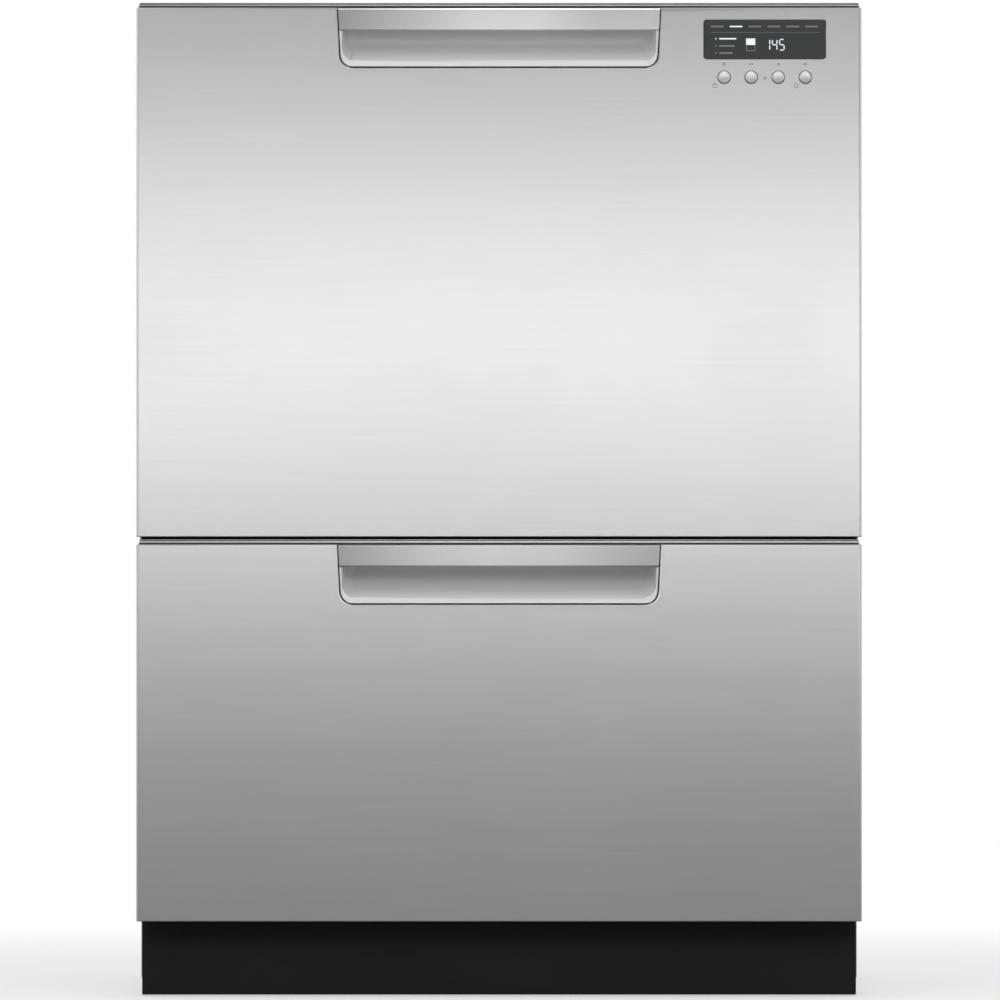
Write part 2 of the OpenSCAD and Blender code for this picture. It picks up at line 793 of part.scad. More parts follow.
module front_panel(upper) {
    z = front_z(upper);
    color("silver") difference() {
        translate([0, 0, z[0]]) linear_extrude(z[1] - z[0]) {
            translate([-half_w, face_y + skin_r]) square([overall_w, skin_return - skin_r]);
            translate([-half_w + skin_r, face_y]) square([overall_w - 2 * skin_r, skin_r + cut]);
            for (side = [-1, 1]) translate([side * (half_w - skin_r), face_y + skin_r]) circle(skin_r);
        }
        block([-half_w + skin_t, face_y + skin_t, z[0] + skin_t],
            [half_w - skin_t, front_back_y + cut, z[1] - skin_t]);
        upright(face_y - cut, face_y + bar_t + cut) pocket_outline(z[1], 0);
        if (upper) {
            upright(face_y - cut, face_y + skin_t + cut) display_outline(fit_gap);
            button_row() rod_y(0, face_y - cut, face_y + skin_t + cut, 0, button_r + 2 * fit_gap);
        }
    }
}

module top_trim(upper) {
    z = front_z(upper)[1];
    x = half_w - trim_inset;
    color("silver") difference() {
        block([-x, face_y, z], [x, front_back_y, z + trim_h]);
        both_sides() translate([x, 0, z]) rotate([0, -trim_slant, 0])
            block([0, face_y - cut, -2 * trim_h], [2 * trim_h, front_back_y + cut, 2 * trim_h]);
    }
}

module grip_bar(upper) {
    z = front_z(upper)[1];
    color("gainsboro") intersection() {
        upright(face_y, face_y + bar_t) pocket_outline(z, fit_gap);
        block([-pocket_w, face_y - cut, z - bar_h], [pocket_w, face_y + bar_t + cut, z - fit_gap]);
    }
}

// The part of the pocket's outline that lies under a height
module pocket_below(top, inset, height) {
    intersection() {
        pocket_outline(top, inset);
        translate([-pocket_w, height - 2 * pocket_h]) square([2 * pocket_w, 2 * pocket_h]);
    }
}

// The cup is welded from a bent band, a back and a ceiling, and cut back where the grip bar sits on it
module handle_cup(upper) {
    z = front_z(upper)[1];
    ceiling = z - cup_drop;
    back_y = cup_back_y - cup_t;
    color("silver") {
        difference() {
            upright(face_y + fit_gap, back_y - weld_gap) difference() {
                pocket_below(z, fit_gap, ceiling - weld_gap);
                pocket_outline(z, fit_gap + cup_t);
            }
            block([-pocket_w, face_y - cut, z - bar_h], [pocket_w, face_y + bar_t, z + cut]);
        }
        upright(back_y, cup_back_y) pocket_below(z, fit_gap, ceiling + cup_t);
        upright(face_y + bar_t, back_y - weld_gap) difference() {
            pocket_below(z, fit_gap, ceiling + cup_t);
            translate([-pocket_w, ceiling - 2 * pocket_h]) square([2 * pocket_w, 2 * pocket_h]);
        }
    }
}

module front_liner(upper) {
    z = front_z(upper);
    x = half_w - skin_t;
    plate_y = face_y + skin_return;
    color("lightslategray") difference() {
        union() {
            block([-half_w + skin_t / 2, plate_y, z[0] + skin_t / 2],
                [half_w - skin_t / 2, front_back_y, z[1]]);
            difference() {
                block([-x, plate_y - liner_rim, z[0] + skin_t], [x, plate_y + skin_t, z[1] - skin_t]);
                block([-x + liner_t, plate_y - liner_rim - cut, z[0] + skin_t + liner_t],
                    [x - liner_t, plate_y + skin_t + cut, z[1] - skin_t - liner_t]);
            }
        }
        block([-pocket_w / 2 - cut, face_y - cut, z[1] - pocket_h - cut],
            [pocket_w / 2 + cut, front_back_y + cut, z[1] + cut]);
    }
}

// ---------- controls ----------

module display_window() {
    color("black") upright(face_y + fit_gap / 2, face_y + display_t) display_outline(0);
}

module control_housing() {
    edge_x = display_w / 2 + housing_margin;
    color("dimgray") difference() {
        block([display_x - edge_x, face_y + skin_t, button_z - button_r - housing_margin],
            [display_x + edge_x, face_y + housing_d, display_top + housing_margin]);
        upright(face_y, face_y + display_t) display_outline(fit_gap);
        button_row()
            rod_y(0, face_y, face_y + button_len + button_travel + fit_gap, 0, button_r + button_play);
    }
}

module button(i) {
    x = display_x + (i - (button_count + 1) / 2) * button_pitch;
    color("silver") rod_y(x, face_y - button_proud, face_y + button_len, button_z, button_r);
}

// ---------- tub ----------

module tub(rim) {
    floor_z = rim - tub_h;
    shelf_x = pocket_w / 2 + shelf_gap;
    color("lightgray") difference() {
        union() {
            translate([0, 0, floor_z - tub_t]) linear_extrude(tub_h + tub_t) tub_outline(0);
            translate([0, 0, rim - flange_t]) linear_extrude(flange_t) tub_outline(flange_w);
            for (i = [0:band_count - 1]) translate([0, 0, floor_z + band_lift + i * band_pitch])
                linear_extrude(band_h) tub_outline(band_w);
            rod_z(0, mid_y, floor_z - sump_h - tub_t, floor_z - tub_t + cut, sump_r + sump_ledge + tub_t);
        }
        translate([0, 0, floor_z]) linear_extrude(tub_h + cut)
            round_rect([-inner_x, inner_y0], [inner_x, inner_y1], inner_r);
        rod_z(0, mid_y, floor_z - filter_t, floor_z + cut, sump_r + sump_ledge);
        rod_z(0, mid_y, floor_z - sump_h, floor_z, sump_r);
        rod_z(0, mid_y, floor_z - sump_h - tub_t - cut, floor_z, post_r + fit_gap);
        rod_z(0, mid_y + drain_offset, floor_z - sump_h - tub_t - cut, floor_z, drain_r);
    }
    color("lightgray") both_sides() block([shelf_x, front_back_y, rim - flange_t],
        [shelf_x + shelf_len, tub_y0 - flange_w - weld_gap, rim]);
}

// The wash pump hangs under the sump, and its post goes up through the sump to carry the spray arm
module wash_pump(rim) {
    floor_z = rim - tub_h;
    top = floor_z - sump_h - tub_t;
    arm_z = floor_z + arm_lift;
    cap_z = arm_z + arm_h + arm_gap;
    color("dimgray") {
        rod_z(0, mid_y, top - pump_top_h, top, pump_r);
        rod_z(0, mid_y, top - pump_h, top, pump_foot_r);
        rod_z(0, mid_y, top - cut, cap_z + post_collar_h, post_r);
        rod_z(0, mid_y, arm_z - arm_gap - post_collar_h, arm_z - arm_gap, post_collar_r);
        rod_z(0, mid_y, cap_z, cap_z + post_collar_h, post_collar_r);
        drain_pump(top);
    }
}

module drain_pump(top) {
    y = mid_y + drain_offset + drain_pump_shift;
    z = top - drain_pump_h / 2;
    difference() {
        union() {
            rod_z(0, y, top - drain_pump_h, top, drain_pump_r);
            rod_y(0, y, tub_y1, z, pipe_r);
        }
        rod_y(0, y + drain_pump_r / 2, tub_y1 + cut, z, pipe_r - tail_t);
    }
}

module spray_arm(rim) {
    end = arm_r - arm_tip;
    color("whitesmoke") translate([0, mid_y, rim - tub_h + arm_lift]) difference() {
        union() {
            cylinder(r = arm_hub_r, h = arm_h);
            linear_extrude(arm_h) for (side = [-1, 1]) {
                polygon([[0, -arm_root], [0, arm_root], [side * end, arm_tip], [side * end, -arm_tip]]);
                translate([side * end, 0]) circle(arm_tip);
            }
        }
        translate([0, 0, -cut]) cylinder(r = post_r + post_play, h = arm_h + 2 * cut);
        for (side = [-1, 1], i = [1:jet_count]) {
            x = side * (arm_hub_r + i * (end - arm_hub_r) / jet_count);
            y = side * jet_shift * (i % 2 == 0 ? 1 : -1);
            translate([x - jet_len / 2, y - jet_w / 2, arm_h - jet_depth])
                cube([jet_len, jet_w, jet_depth + cut]);
        }
    }
}

// A slot through the filter plate, along a radius at an angle
module plate_slot(angle, start, len) {
    rotate(angle) block([start, -slot_w / 2, -cut], [start + len, slot_w / 2, filter_t + cut]);
}

module filter_plate(rim) {
    color("gray") translate([0, mid_y, rim - tub_h]) {
        translate([0, 0, -filter_t]) difference() {
            cylinder(r = sump_r + sump_ledge - fit_gap, h = filter_t);
            translate([0, 0, -cut]) cylinder(r = post_collar_r + fit_gap, h = filter_t + 2 * cut);
            translate([0, drain_offset, -cut]) cylinder(r = filter_cup_r + fit_gap, h = filter_t + 2 * cut);
            for (i = [0:slot_count - 1])
                plate_slot((i + 0.5) * 360 / slot_count, slot_start, slot_len);
            for (i = [0:long_slot_count - 1])
                plate_slot((i - (long_slot_count - 1) / 2) * long_slot_step - quarter_turn,
                    long_slot_start, long_slot_len);
        }
        translate([0, drain_offset, 0]) drain_filter();
    }
}

// The drain filter drops into the plate and hangs by its rim
module drain_filter() {
    difference() {
        union() {
            translate([0, 0, -filter_cup_h]) cylinder(r = filter_cup_r, h = filter_cup_h);
            cylinder(r = filter_cup_r + filter_rim, h = filter_t);
        }
        translate([0, 0, filter_wall - filter_cup_h])
            cylinder(r = filter_cup_r - filter_wall, h = filter_cup_h + filter_t);
    }
}

// ---------- lids ----------

// Underside of a lid's seal when the lid is up
function seal_z(rim) = rim + lid_rest_gap + lid_travel;

module seal_ring() {
    difference() {
        tub_outline(seal_mid + seal_w / 2);
        tub_outline(seal_mid - seal_w / 2);
    }
}

module lid_seal(rim) {
    color("dimgray") translate([0, 0, seal_z(rim)]) linear_extrude(seal_h) seal_ring();
}

module lid(rim) {
    z = seal_z(rim) + seal_proud;
    x = tub_x + lid_over_x;
    y0 = tub_y0 - lid_over_y;
    y1 = tub_y1 + lid_over_y;
    cell_x = (2 * x - lid_t) / lid_cells;
    cell_y = (y1 - y0 - lid_t) / lid_cells;
    cell_z = z + seal_h - seal_proud + lid_t;
    color("gainsboro") {
        difference() {
            block([-x, y0, z], [x, y1, z + lid_h]);
            for (i = [0:lid_cells - 1], j = [0:lid_cells - 1])
                translate([lid_t - x + i * cell_x, y0 + lid_t + j * cell_y, cell_z])
                    cube([cell_x - lid_t, cell_y - lid_t, lid_h]);
            translate([0, 0, z - cut]) linear_extrude(seal_h - seal_proud + cut) seal_ring();
        }
        both_sides() translate([x - lid_t / 2, mid_y - lug_w / 2, z + lug_lift])
            cube([in_x - actuator_w / 2 - x + lid_t / 2, lug_w, lug_w]);
    }
}

// An actuator stands on each side of the cabinet, and its slot carries the lid's lug
module lid_actuator(rim) {
    slot_z = seal_z(rim) + seal_proud + lug_lift;
    z = rim + actuator_lift;
    both_sides() difference() {
        translate([in_x - actuator_w, mid_y - actuator_len / 2, z])
            cube([actuator_w, actuator_len, actuator_h]);
        block([in_x - actuator_w - cut, mid_y - lug_w / 2 - lug_play, slot_z - lid_travel - lug_play],
            [in_x - actuator_w / 2 + lug_play, mid_y + lug_w / 2 + lug_play, slot_z + lug_w + lug_play]);
    }
}

module lid_actuators() {
    color("darkgray") {
        lid_actuator(upper_rim);
        lid_actuator(lower_rim);
    }
}

// ---------- racks ----------

function rack_z(rim) = rim - tub_h + rack_lift;
function row_y(i) = rack_y0 + first_row + (i - 1) * row_pitch;
function tine_x(i) = (i - (tine_count - 1) / 2) * tine_pitch;

// Low corner of the wire crossing that carries the leg on one side and end
function leg_x(side) = side * (rack_w - wire) * (0.5 - 1 / rack_nx) - wire / 2;
function leg_y(end) = (rack_y0 + rack_y1) / 2 + end * (rack_d - wire) * (0.5 - 1 / rack_ny) - wire / 2;

// Upright wires on the floor's own wires, with rails across them; a side leaves its ends to its neighbours
module side_wires(len, count, skip) {
    h = rack_h - rack_foot;
    for (i = [skip:count - skip])
        translate([i * (len - wire) / count, rack_foot]) square([wire, h]);
    for (j = [1:side_gaps])
        translate([skip * rack_foot, rack_foot + j * (h - wire) / side_gaps])
            square([len - 2 * skip * rack_foot, wire]);
}

module rack_sides() {
    for (y = [rack_y0, rack_y1 - wire])
        upright(y, y + wire) translate([-rack_x, 0]) side_wires(rack_w, rack_nx, 0);
    for (x = [-rack_x, rack_x - wire])
        translate([x, rack_y0, 0]) rotate([90, 0, 90]) linear_extrude(wire) side_wires(rack_d, rack_ny, 1);
}

// A wire across the rack on top of its floor, which carries a row
module cross_wire(y) {
    x = rack_x - rack_foot;
    block([-x, y - wire / 2, rack_foot], [x, y + wire / 2, rack_foot + wire]);
}

module tine_row(y) {
    cross_wire(y);
    for (i = [0:tine_count - 1])
        translate([tine_x(i) - wire / 2, y - wire / 2, rack_foot]) cube([wire, wire, tine_h - rack_foot]);
}

// Two eyes carry the rod of the folding row
module fold_eyes() {
    difference() {
        union() {
            cross_wire(fold_y);
            for (i = [1, tine_count - 2])
                translate([tine_x(i) - wire, fold_y - eye / 2, rack_foot])
                    cube([2 * wire, eye, fold_z + eye / 2 - rack_foot]);
        }
        rod_x(-rack_x, rack_x, fold_y, fold_z, rod_r + rod_play);
    }
}

// Two eyes on each side carry the rod of a cup rack
module cup_eyes() {
    for (y = [cup_y0, cup_y1]) difference() {
        block([hinge_x - eye / 2, y - wire, rack_h + weld_gap], [rack_x, y + wire, cup_z + eye / 2]);
        rod_y(hinge_x, y - 2 * wire, y + 2 * wire, cup_z, rod_r + rod_play);
    }
}

// The rack is welded from flat panels of wire: a floor, four sides and a comb of tines for each row
module base_rack(rim) {
    color("slategray") translate([0, 0, rack_z(rim)]) {
        translate([-rack_x, rack_y0]) linear_extrude(wire) bars(rack_w, rack_d, rack_nx, rack_ny);
        rack_sides();
        for (row = fixed_rows) tine_row(row_y(row));
        fold_eyes();
        both_sides() cup_eyes();
        for (side = [-1, 1], end = [-1, 1])
            translate([leg_x(side), leg_y(end), -rack_lift]) cube([wire, wire, rack_lift - weld_gap]);
    }
}

module fold_tines(rim) {
    end = tine_x(tine_count - 1);
    color("slategray") translate([0, fold_y, rack_z(rim) + fold_z]) rotate([-fold_lean, 0, 0]) {
        rod_x(-end, end, 0, 0, rod_r);
        for (i = [0:tine_count - 2]) translate([tine_x(i) + (tine_pitch - wire) / 2, -wire / 2, -rod_r / 2])
            cube([wire, wire, tine_h - fold_z]);
    }
}

module cup_rack_right(rim) {
    len = cup_rack_len - 4 * wire;
    color("slategray") translate([0, 0, rack_z(rim) + cup_z]) {
        rod_y(hinge_x, cup_y0 - 2 * wire, cup_y1 + 2 * wire, 0, rod_r);
        translate([hinge_x - cup_rack_w, cup_y0 + 2 * wire, -wire / 2]) linear_extrude(wire) {
            for (i = [0:cup_rack_rails - 1])
                translate([i * cup_rack_w / cup_rack_rails, 0]) square([wire, len]);
            for (i = [0:cup_rack_bars])
                translate([0, i * (len - wire) / cup_rack_bars]) square([cup_rack_w, wire]);
        }
    }
}

module cup_rack_left(rim) {
    mirror([1, 0, 0]) cup_rack_right(rim);
}

module cutlery_basket(rim) {
    z = rack_z(rim) + wire;
    y0 = basket_y1 - basket_d;
    top = z + basket_h;
    handle_z = top + basket_handle_h;
    mid = basket_y1 - basket_d / 2;
    cell = (basket_w - basket_t) / basket_cells;
    color("darkslategray") {
        difference() {
            block([-basket_w / 2, y0, z], [basket_w / 2, basket_y1, top]);
            for (i = [0:basket_cells - 1])
                block([-basket_w / 2 + basket_t + i * cell, y0 + basket_t, z + basket_t],
                    [-basket_w / 2 + (i + 1) * cell, basket_y1 - basket_t, top + cut]);
        }
        both_sides() block([basket_w / 2 - basket_t, mid - basket_handle_t, top - basket_handle_h],
            [basket_w / 2, mid + basket_handle_t, handle_z]);
        block([-basket_w / 2, mid - basket_handle_t, handle_z - basket_handle_t],
            [basket_w / 2, mid + basket_handle_t, handle_z]);
    }
}

// ---------- dispenser ----------

module dispenser(rim) {
    floor_z = rim - tub_h;
    z = floor_z + dispenser_lift;
    axis_z = floor_z + door_axis_lift;
    ear_x = door_half + ear_gap;
    rod_end = ear_x + ear_t + cut;
    color("lightgray") {
        difference() {
            union() {
                block([-dispenser_w / 2, inner_y0, z], [dispenser_w / 2, dispenser_y, z + dispenser_h]);
                for (x = [well_x - ear_x - ear_t, well_x + ear_x])
                    translate([x, dispenser_y - cut, axis_z - eye / 2])
                        cube([ear_t, door_axis_y + eye / 2 - dispenser_y + cut, eye]);
            }
            block([well_x - well_w / 2, dispenser_y - well_d, floor_z + well_lift],
                [well_x + well_w / 2, dispenser_y + cut, floor_z + well_lift + well_h]);
            rod_x(well_x - rod_end, well_x + rod_end, door_axis_y, axis_z, rod_r + rod_play);
        }
        rod_y(dispenser_w / 4, dispenser_y, dispenser_y + cap_h, z + dispenser_h / 2, cap_r);
    }
}

module detergent_door(rim) {
    floor_z = rim - tub_h;
    axis_z = floor_z + door_axis_lift;
    y = dispenser_y + door_gap;
    end = door_half + ear_gap + ear_t;
    color("gainsboro") {
        translate([well_x - door_half, y, axis_z]) cube([2 * door_half, door_t, well_h + 2 * door_lap]);
        rod_x(well_x - end, well_x + end, door_axis_y, axis_z, rod_r);
        translate([well_x - door_half, y, axis_z - rod_r / 2]) cube([2 * door_half, door_axis_y - y, rod_r]);
    }
}

// ---------- rear connections ----------

// The shoulder that locks a connection to the outside of the rear panel
module shoulder(x, r) {
    rod_y(x, rear_y + sheet_t, shoulder_y, port_z, r + shoulder_w);
}

module inlet_valve() {
    color("white") {
        translate([inlet_x - valve_w / 2, rear_y - valve_d, port_z - valve_h / 2])
            cube([valve_w, valve_d, valve_h]);
        shoulder(inlet_x, inlet_r);
        rod_y(inlet_x, rear_y - cut, shoulder_y + inlet_len, port_z, inlet_r);
    }
}

// A tube through the rear panel to y, with a flange on the inside
module port_tube(x, r, bore_r, y) {
    difference() {
        union() {
            rod_y(x, rear_y - port_flange, rear_y, port_z, r + port_flange);
            rod_y(x, rear_y - port_flange, y, port_z, r);
            children();
        }
        rod_y(x, rear_y - port_flange - cut, y + cut, port_z, bore_r);
    }
}

module drain_tails() {
    color("dimgray") for (x = [tail_x, tail_x + tail_pitch])
        port_tube(x, tail_r, tail_r - tail_t, shoulder_y + tail_len) shoulder(x, tail_r);
}

module cord_gland() {
    color("black") port_tube(gland_x, gland_r, gland_bore_r, rear_y + sheet_t + gland_len);
}

// ---------- nodes ----------

cabinet_wrap();
rear_panel();
base_pan();
toe_kick();
mid_rail();
fixed_runners();
lid_actuators();
inlet_valve();
drain_tails();
cord_gland();
foot(-foot_x, foot_y[0]);  // foot_front_left
foot(foot_x, foot_y[0]);  // foot_front_right
foot(-foot_x, foot_y[1]);  // foot_rear_left
foot(foot_x, foot_y[1]);  // foot_rear_right
runner_mid(upper_rim);  // upper_runner_mid
runner_mid(lower_rim);  // lower_runner_mid
lid(upper_rim);  // upper_lid
lid_seal(upper_rim);  // upper_lid_seal
lid(lower_rim);  // lower_lid
lid_seal(lower_rim);  // lower_lid_seal
display_window();
control_housing();
button(1);  // button_1
button(2);  // button_2
button(3);  // button_3
button(4);  // button_4
front_panel(true);  // upper_front_panel
top_trim(true);  // upper_top_trim
grip_bar(true);  // upper_grip_bar
handle_cup(true);  // upper_handle_cup
front_liner(true);  // upper_front_liner
tub(upper_rim);  // upper_tub
runner_inner(upper_rim);  // upper_runner_inner
wash_pump(upper_rim);  // upper_wash_pump
spray_arm(upper_rim);  // upper_spray_arm
filter_plate(upper_rim);  // upper_filter_plate
base_rack(upper_rim);  // upper_base_rack
fold_tines(upper_rim);  // upper_fold_tines
cup_rack_left(upper_rim);  // upper_cup_rack_left
cup_rack_right(upper_rim);  // upper_cup_rack_right
cutlery_basket(upper_rim);  // upper_cutlery_basket
dispenser(upper_rim);  // upper_dispenser
detergent_door(upper_rim);  // upper_detergent_door
front_panel(false);  // lower_front_panel
top_trim(false);  // lower_top_trim
grip_bar(false);  // lower_grip_bar
handle_cup(false);  // lower_handle_cup
front_liner(false);  // lower_front_liner
tub(lower_rim);  // lower_tub
runner_inner(lower_rim);  // lower_runner_inner
wash_pump(lower_rim);  // lower_wash_pump
spray_arm(lower_rim);  // lower_spray_arm
filter_plate(lower_rim);  // lower_filter_plate
base_rack(lower_rim);  // lower_base_rack
fold_tines(lower_rim);  // lower_fold_tines
cup_rack_left(lower_rim);  // lower_cup_rack_left
cup_rack_right(lower_rim);  // lower_cup_rack_right
cutlery_basket(lower_rim);  // lower_cutlery_basket
dispenser(lower_rim);  // lower_dispenser
detergent_door(lower_rim);  // lower_detergent_door
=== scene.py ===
# %% [markdown]
# # Two dishwasher drawers in one cabinet
#
# The construction is ready: every part is loaded at its real size and place, in metres.
# This lesson gives the parts their looks. It first sets the camera and the light, then
# mixes the finishes, and then models in more detail each part that a plain solid can't show.

import json
import math

import bmesh
import bpy
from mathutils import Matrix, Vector


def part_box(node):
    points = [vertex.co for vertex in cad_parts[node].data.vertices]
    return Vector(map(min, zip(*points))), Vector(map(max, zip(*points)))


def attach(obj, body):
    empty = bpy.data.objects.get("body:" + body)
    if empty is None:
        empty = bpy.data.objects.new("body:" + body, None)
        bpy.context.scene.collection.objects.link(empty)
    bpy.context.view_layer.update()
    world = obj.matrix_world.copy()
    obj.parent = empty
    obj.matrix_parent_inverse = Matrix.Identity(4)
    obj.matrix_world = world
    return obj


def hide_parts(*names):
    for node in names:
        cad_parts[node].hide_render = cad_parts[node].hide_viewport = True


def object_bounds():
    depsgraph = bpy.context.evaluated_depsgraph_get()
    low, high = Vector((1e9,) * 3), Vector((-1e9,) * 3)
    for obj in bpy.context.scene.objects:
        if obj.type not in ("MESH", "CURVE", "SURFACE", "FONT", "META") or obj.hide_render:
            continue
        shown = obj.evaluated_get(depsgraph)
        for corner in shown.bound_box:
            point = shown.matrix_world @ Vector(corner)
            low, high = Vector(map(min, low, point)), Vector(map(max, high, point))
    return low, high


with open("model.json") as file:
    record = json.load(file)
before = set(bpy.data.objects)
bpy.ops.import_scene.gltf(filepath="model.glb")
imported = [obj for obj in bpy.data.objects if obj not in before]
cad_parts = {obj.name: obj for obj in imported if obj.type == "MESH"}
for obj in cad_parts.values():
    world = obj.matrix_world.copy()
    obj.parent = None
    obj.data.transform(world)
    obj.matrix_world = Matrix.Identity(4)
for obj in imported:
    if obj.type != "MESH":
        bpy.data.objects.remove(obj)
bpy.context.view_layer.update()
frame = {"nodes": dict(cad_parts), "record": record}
mm = 0.001
X, Y, Z = 0, 1, 2
DRAWERS = ("upper", "lower")

# %% [markdown]
# ## Camera
#
# The picture is taken square on and from far away, so the front shows no perspective. A long
# lens at a long distance does the same. The width of the fronts in the picture gives the scale:
# the sensor's width over the lens is the picture's width over the distance.

# %% Camera
picture_px = 1000
fronts_px = 725.7  # width of the fronts in the picture
middle_px = 499.05  # middle of the fronts in the picture
floor_px = 997.5  # where the object stands in the picture
lens = 500

front_low, front_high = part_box("upper_front_panel")
pixel = (front_high.x - front_low.x) / fronts_px
view_width = picture_px * pixel
bpy.ops.object.camera_add()
camera = bpy.context.object
camera.name = "camera"
camera.data.lens = lens
distance = view_width * lens / camera.data.sensor_width
camera.location = (
    (picture_px / 2 - middle_px) * pixel,
    front_low.y - distance,
    (floor_px - picture_px / 2) * pixel,
)
camera.rotation_euler = (math.pi / 2, 0, 0)
camera.data.clip_end = 10 * distance
bpy.context.scene.camera = camera
print(f"the camera stands {distance:.2f} m away and sees {view_width * 1000:.0f} mm")

# %% [markdown]
# ## Working with objects
#
# Every operator acts on what is selected. These helpers select one object, name what was just
# added, and put its place and size into its mesh, so that each object ends at the origin.

# %% Select and settle
def deselect():
    bpy.ops.object.select_all(action="DESELECT")


def only(piece):
    deselect()
    piece.select_set(True)
    bpy.context.view_layer.objects.active = piece


def named(name):
    piece = bpy.context.object
    piece.name = name
    piece.data.name = name
    return piece


def settle(name):
    bpy.ops.object.transform_apply(location=True, rotation=True, scale=True)
    return named(name)


def centre_of(node):
    low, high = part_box(node)
    return (low + high) / 2


# %% [markdown]
# A block between two corners and a round bar between two points are where most parts start.

# %% Blocks and bars
def block(name, low, high):
    deselect()
    low, high = Vector(low), Vector(high)
    bpy.ops.mesh.primitive_cube_add(size=1, location=(low + high) / 2)
    bpy.context.object.scale = high - low
    return settle(name)


def bar(name, start, end, radius, sides=32):
    deselect()
    start, end = Vector(start), Vector(end)
    turn = (end - start).to_track_quat("Z", "Y").to_euler()
    bpy.ops.mesh.primitive_cylinder_add(
        vertices=sides, radius=radius, depth=(end - start).length,
        location=(start + end) / 2, rotation=turn)
    return settle(name)


# %% [markdown]
# In edit mode, faces and edges are picked by a test on their place or their direction. A test is
# a small function, and `both` joins two of them.

# %% Pick faces and edges
near_enough, straight, flat = 0.02 * mm, 0.999, 0.99


def at(axis, place):
    return lambda part: all(abs(v.co[axis] - place) < near_enough for v in part.verts)


def within(axis, low, high):
    return lambda part: all(low < v.co[axis] < high for v in part.verts)


def along(axis):
    return lambda edge: abs((edge.verts[0].co - edge.verts[1].co).normalized()[axis]) > straight


def facing(axis, sign):
    return lambda face: face.normal[axis] * sign > flat


def both(first, second):
    return lambda part: first(part) and second(part)


def either(first, second):
    return lambda part: first(part) or second(part)


def pick(piece, test, kind="FACE"):
    only(piece)
    bpy.ops.object.mode_set(mode="EDIT")
    bpy.ops.mesh.select_mode(type=kind)
    bpy.ops.mesh.select_all(action="DESELECT")
    mesh = bmesh.from_edit_mesh(piece.data)
    for part in mesh.faces if kind == "FACE" else mesh.edges:
        part.select = test(part)
    mesh.select_flush_mode()
    bmesh.update_edit_mesh(piece.data)


def close():
    bpy.ops.object.mode_set(mode="OBJECT")


# %% [markdown]
# Rounding, drilling and joining follow the same pattern: pick, act, and leave edit mode. A cutter
# is an object of its own that is used up by the cut.

# %% Round, cut, weld and soften
def round_edges(piece, test, radius, segments=4):
    pick(piece, test, "EDGE")
    bpy.ops.mesh.bevel(offset=radius, segments=segments, affect="EDGES")
    close()


def remove_faces(piece, test):
    pick(piece, test)
    bpy.ops.mesh.delete(type="FACE")
    close()


def resize_faces(piece, test, scale, middle):
    pick(piece, test)
    bpy.ops.transform.resize(value=scale, center_override=middle)
    close()


def apply(piece, kind, **settings):
    only(piece)
    modifier = piece.modifiers.new(kind.lower(), kind)
    for key, value in settings.items():
        setattr(modifier, key, value)
    bpy.ops.object.modifier_apply(modifier=modifier.name)


def thicken(piece, wall):
    """Gives an open sheet its wall, inwards."""
    apply(piece, "SOLIDIFY", thickness=wall, offset=-1, use_even_offset=True)


def join(name, pieces):
    """Makes one object of several, each left as it is."""
    only(pieces[0])
    for piece in pieces[1:]:
        piece.select_set(True)
    if len(pieces) > 1:
        bpy.ops.object.join()
    return named(name)


def combine(piece, others, operation):
    other = join("cutter", others)
    apply(piece, "BOOLEAN", operation=operation, solver="EXACT", object=other)
    bpy.data.objects.remove(other)


def carve(piece, *cutters):
    combine(piece, list(cutters), "DIFFERENCE")


def weld(piece, *others):
    for other in others:
        combine(piece, [other], "UNION")


def smooth(piece, angle=35):
    """Shades curves smoothly and keeps flats flat, by weighing each face's area at its corners."""
    only(piece)
    bpy.ops.object.shade_smooth_by_angle(angle=math.radians(angle))
    apply(piece, "WEIGHTED_NORMAL", keep_sharp=True)


def soften(piece, radius, segments=2, angle=35):
    """Breaks all the sharp edges, as moulding and deburring do."""
    apply(piece, "BEVEL", width=radius, segments=segments, limit_method="ANGLE",
          angle_limit=math.radians(angle), use_clamp_overlap=True)
    smooth(piece, angle)


def copy_of(piece, name, move=(0, 0, 0)):
    twin = piece.copy()
    twin.data = piece.data.copy()
    bpy.context.scene.collection.objects.link(twin)
    only(twin)
    twin.location = move
    return settle(name)


# %% [markdown]
# A turned part is drawn as half its outline, radius and height, and spun once round. The spin
# leaves doubled points on its axis and its seam, so they are merged before the normals are set.

# %% Turned parts
doubled = 0.005 * mm  # points nearer than this are one


def turned(name, outline, centre, axis=Z, steps=40):
    mesh = bpy.data.meshes.new(name)
    edges = [(i, i + 1) for i in range(len(outline) - 1)]
    mesh.from_pydata([(r, 0, h) for r, h in outline], edges, [])
    piece = bpy.data.objects.new(name, mesh)
    bpy.context.scene.collection.objects.link(piece)
    only(piece)
    bpy.ops.object.mode_set(mode="EDIT")
    bpy.ops.mesh.select_all(action="SELECT")
    bpy.ops.mesh.spin(steps=steps, angle=math.tau, center=(0, 0, 0), axis=(0, 0, 1))
    bpy.ops.mesh.select_all(action="SELECT")
    bpy.ops.mesh.remove_doubles(threshold=doubled)
    bpy.ops.mesh.normals_make_consistent(inside=False)
    close()
    if axis == Y:
        piece.rotation_euler = (-math.pi / 2, 0, 0)
    piece.location = centre
    settle(name)
    smooth(piece)
    return piece


# %% [markdown]
# ## Finishes
#
# A finish is a node tree. `Nodes` adds any node with one method: the settings go in first, then the
# values or links of the sockets. `Wave` wraps a socket, so that a mask can be written as a sum, and
# Python adds the Math nodes. `Paint` is a material with a Principled shader.

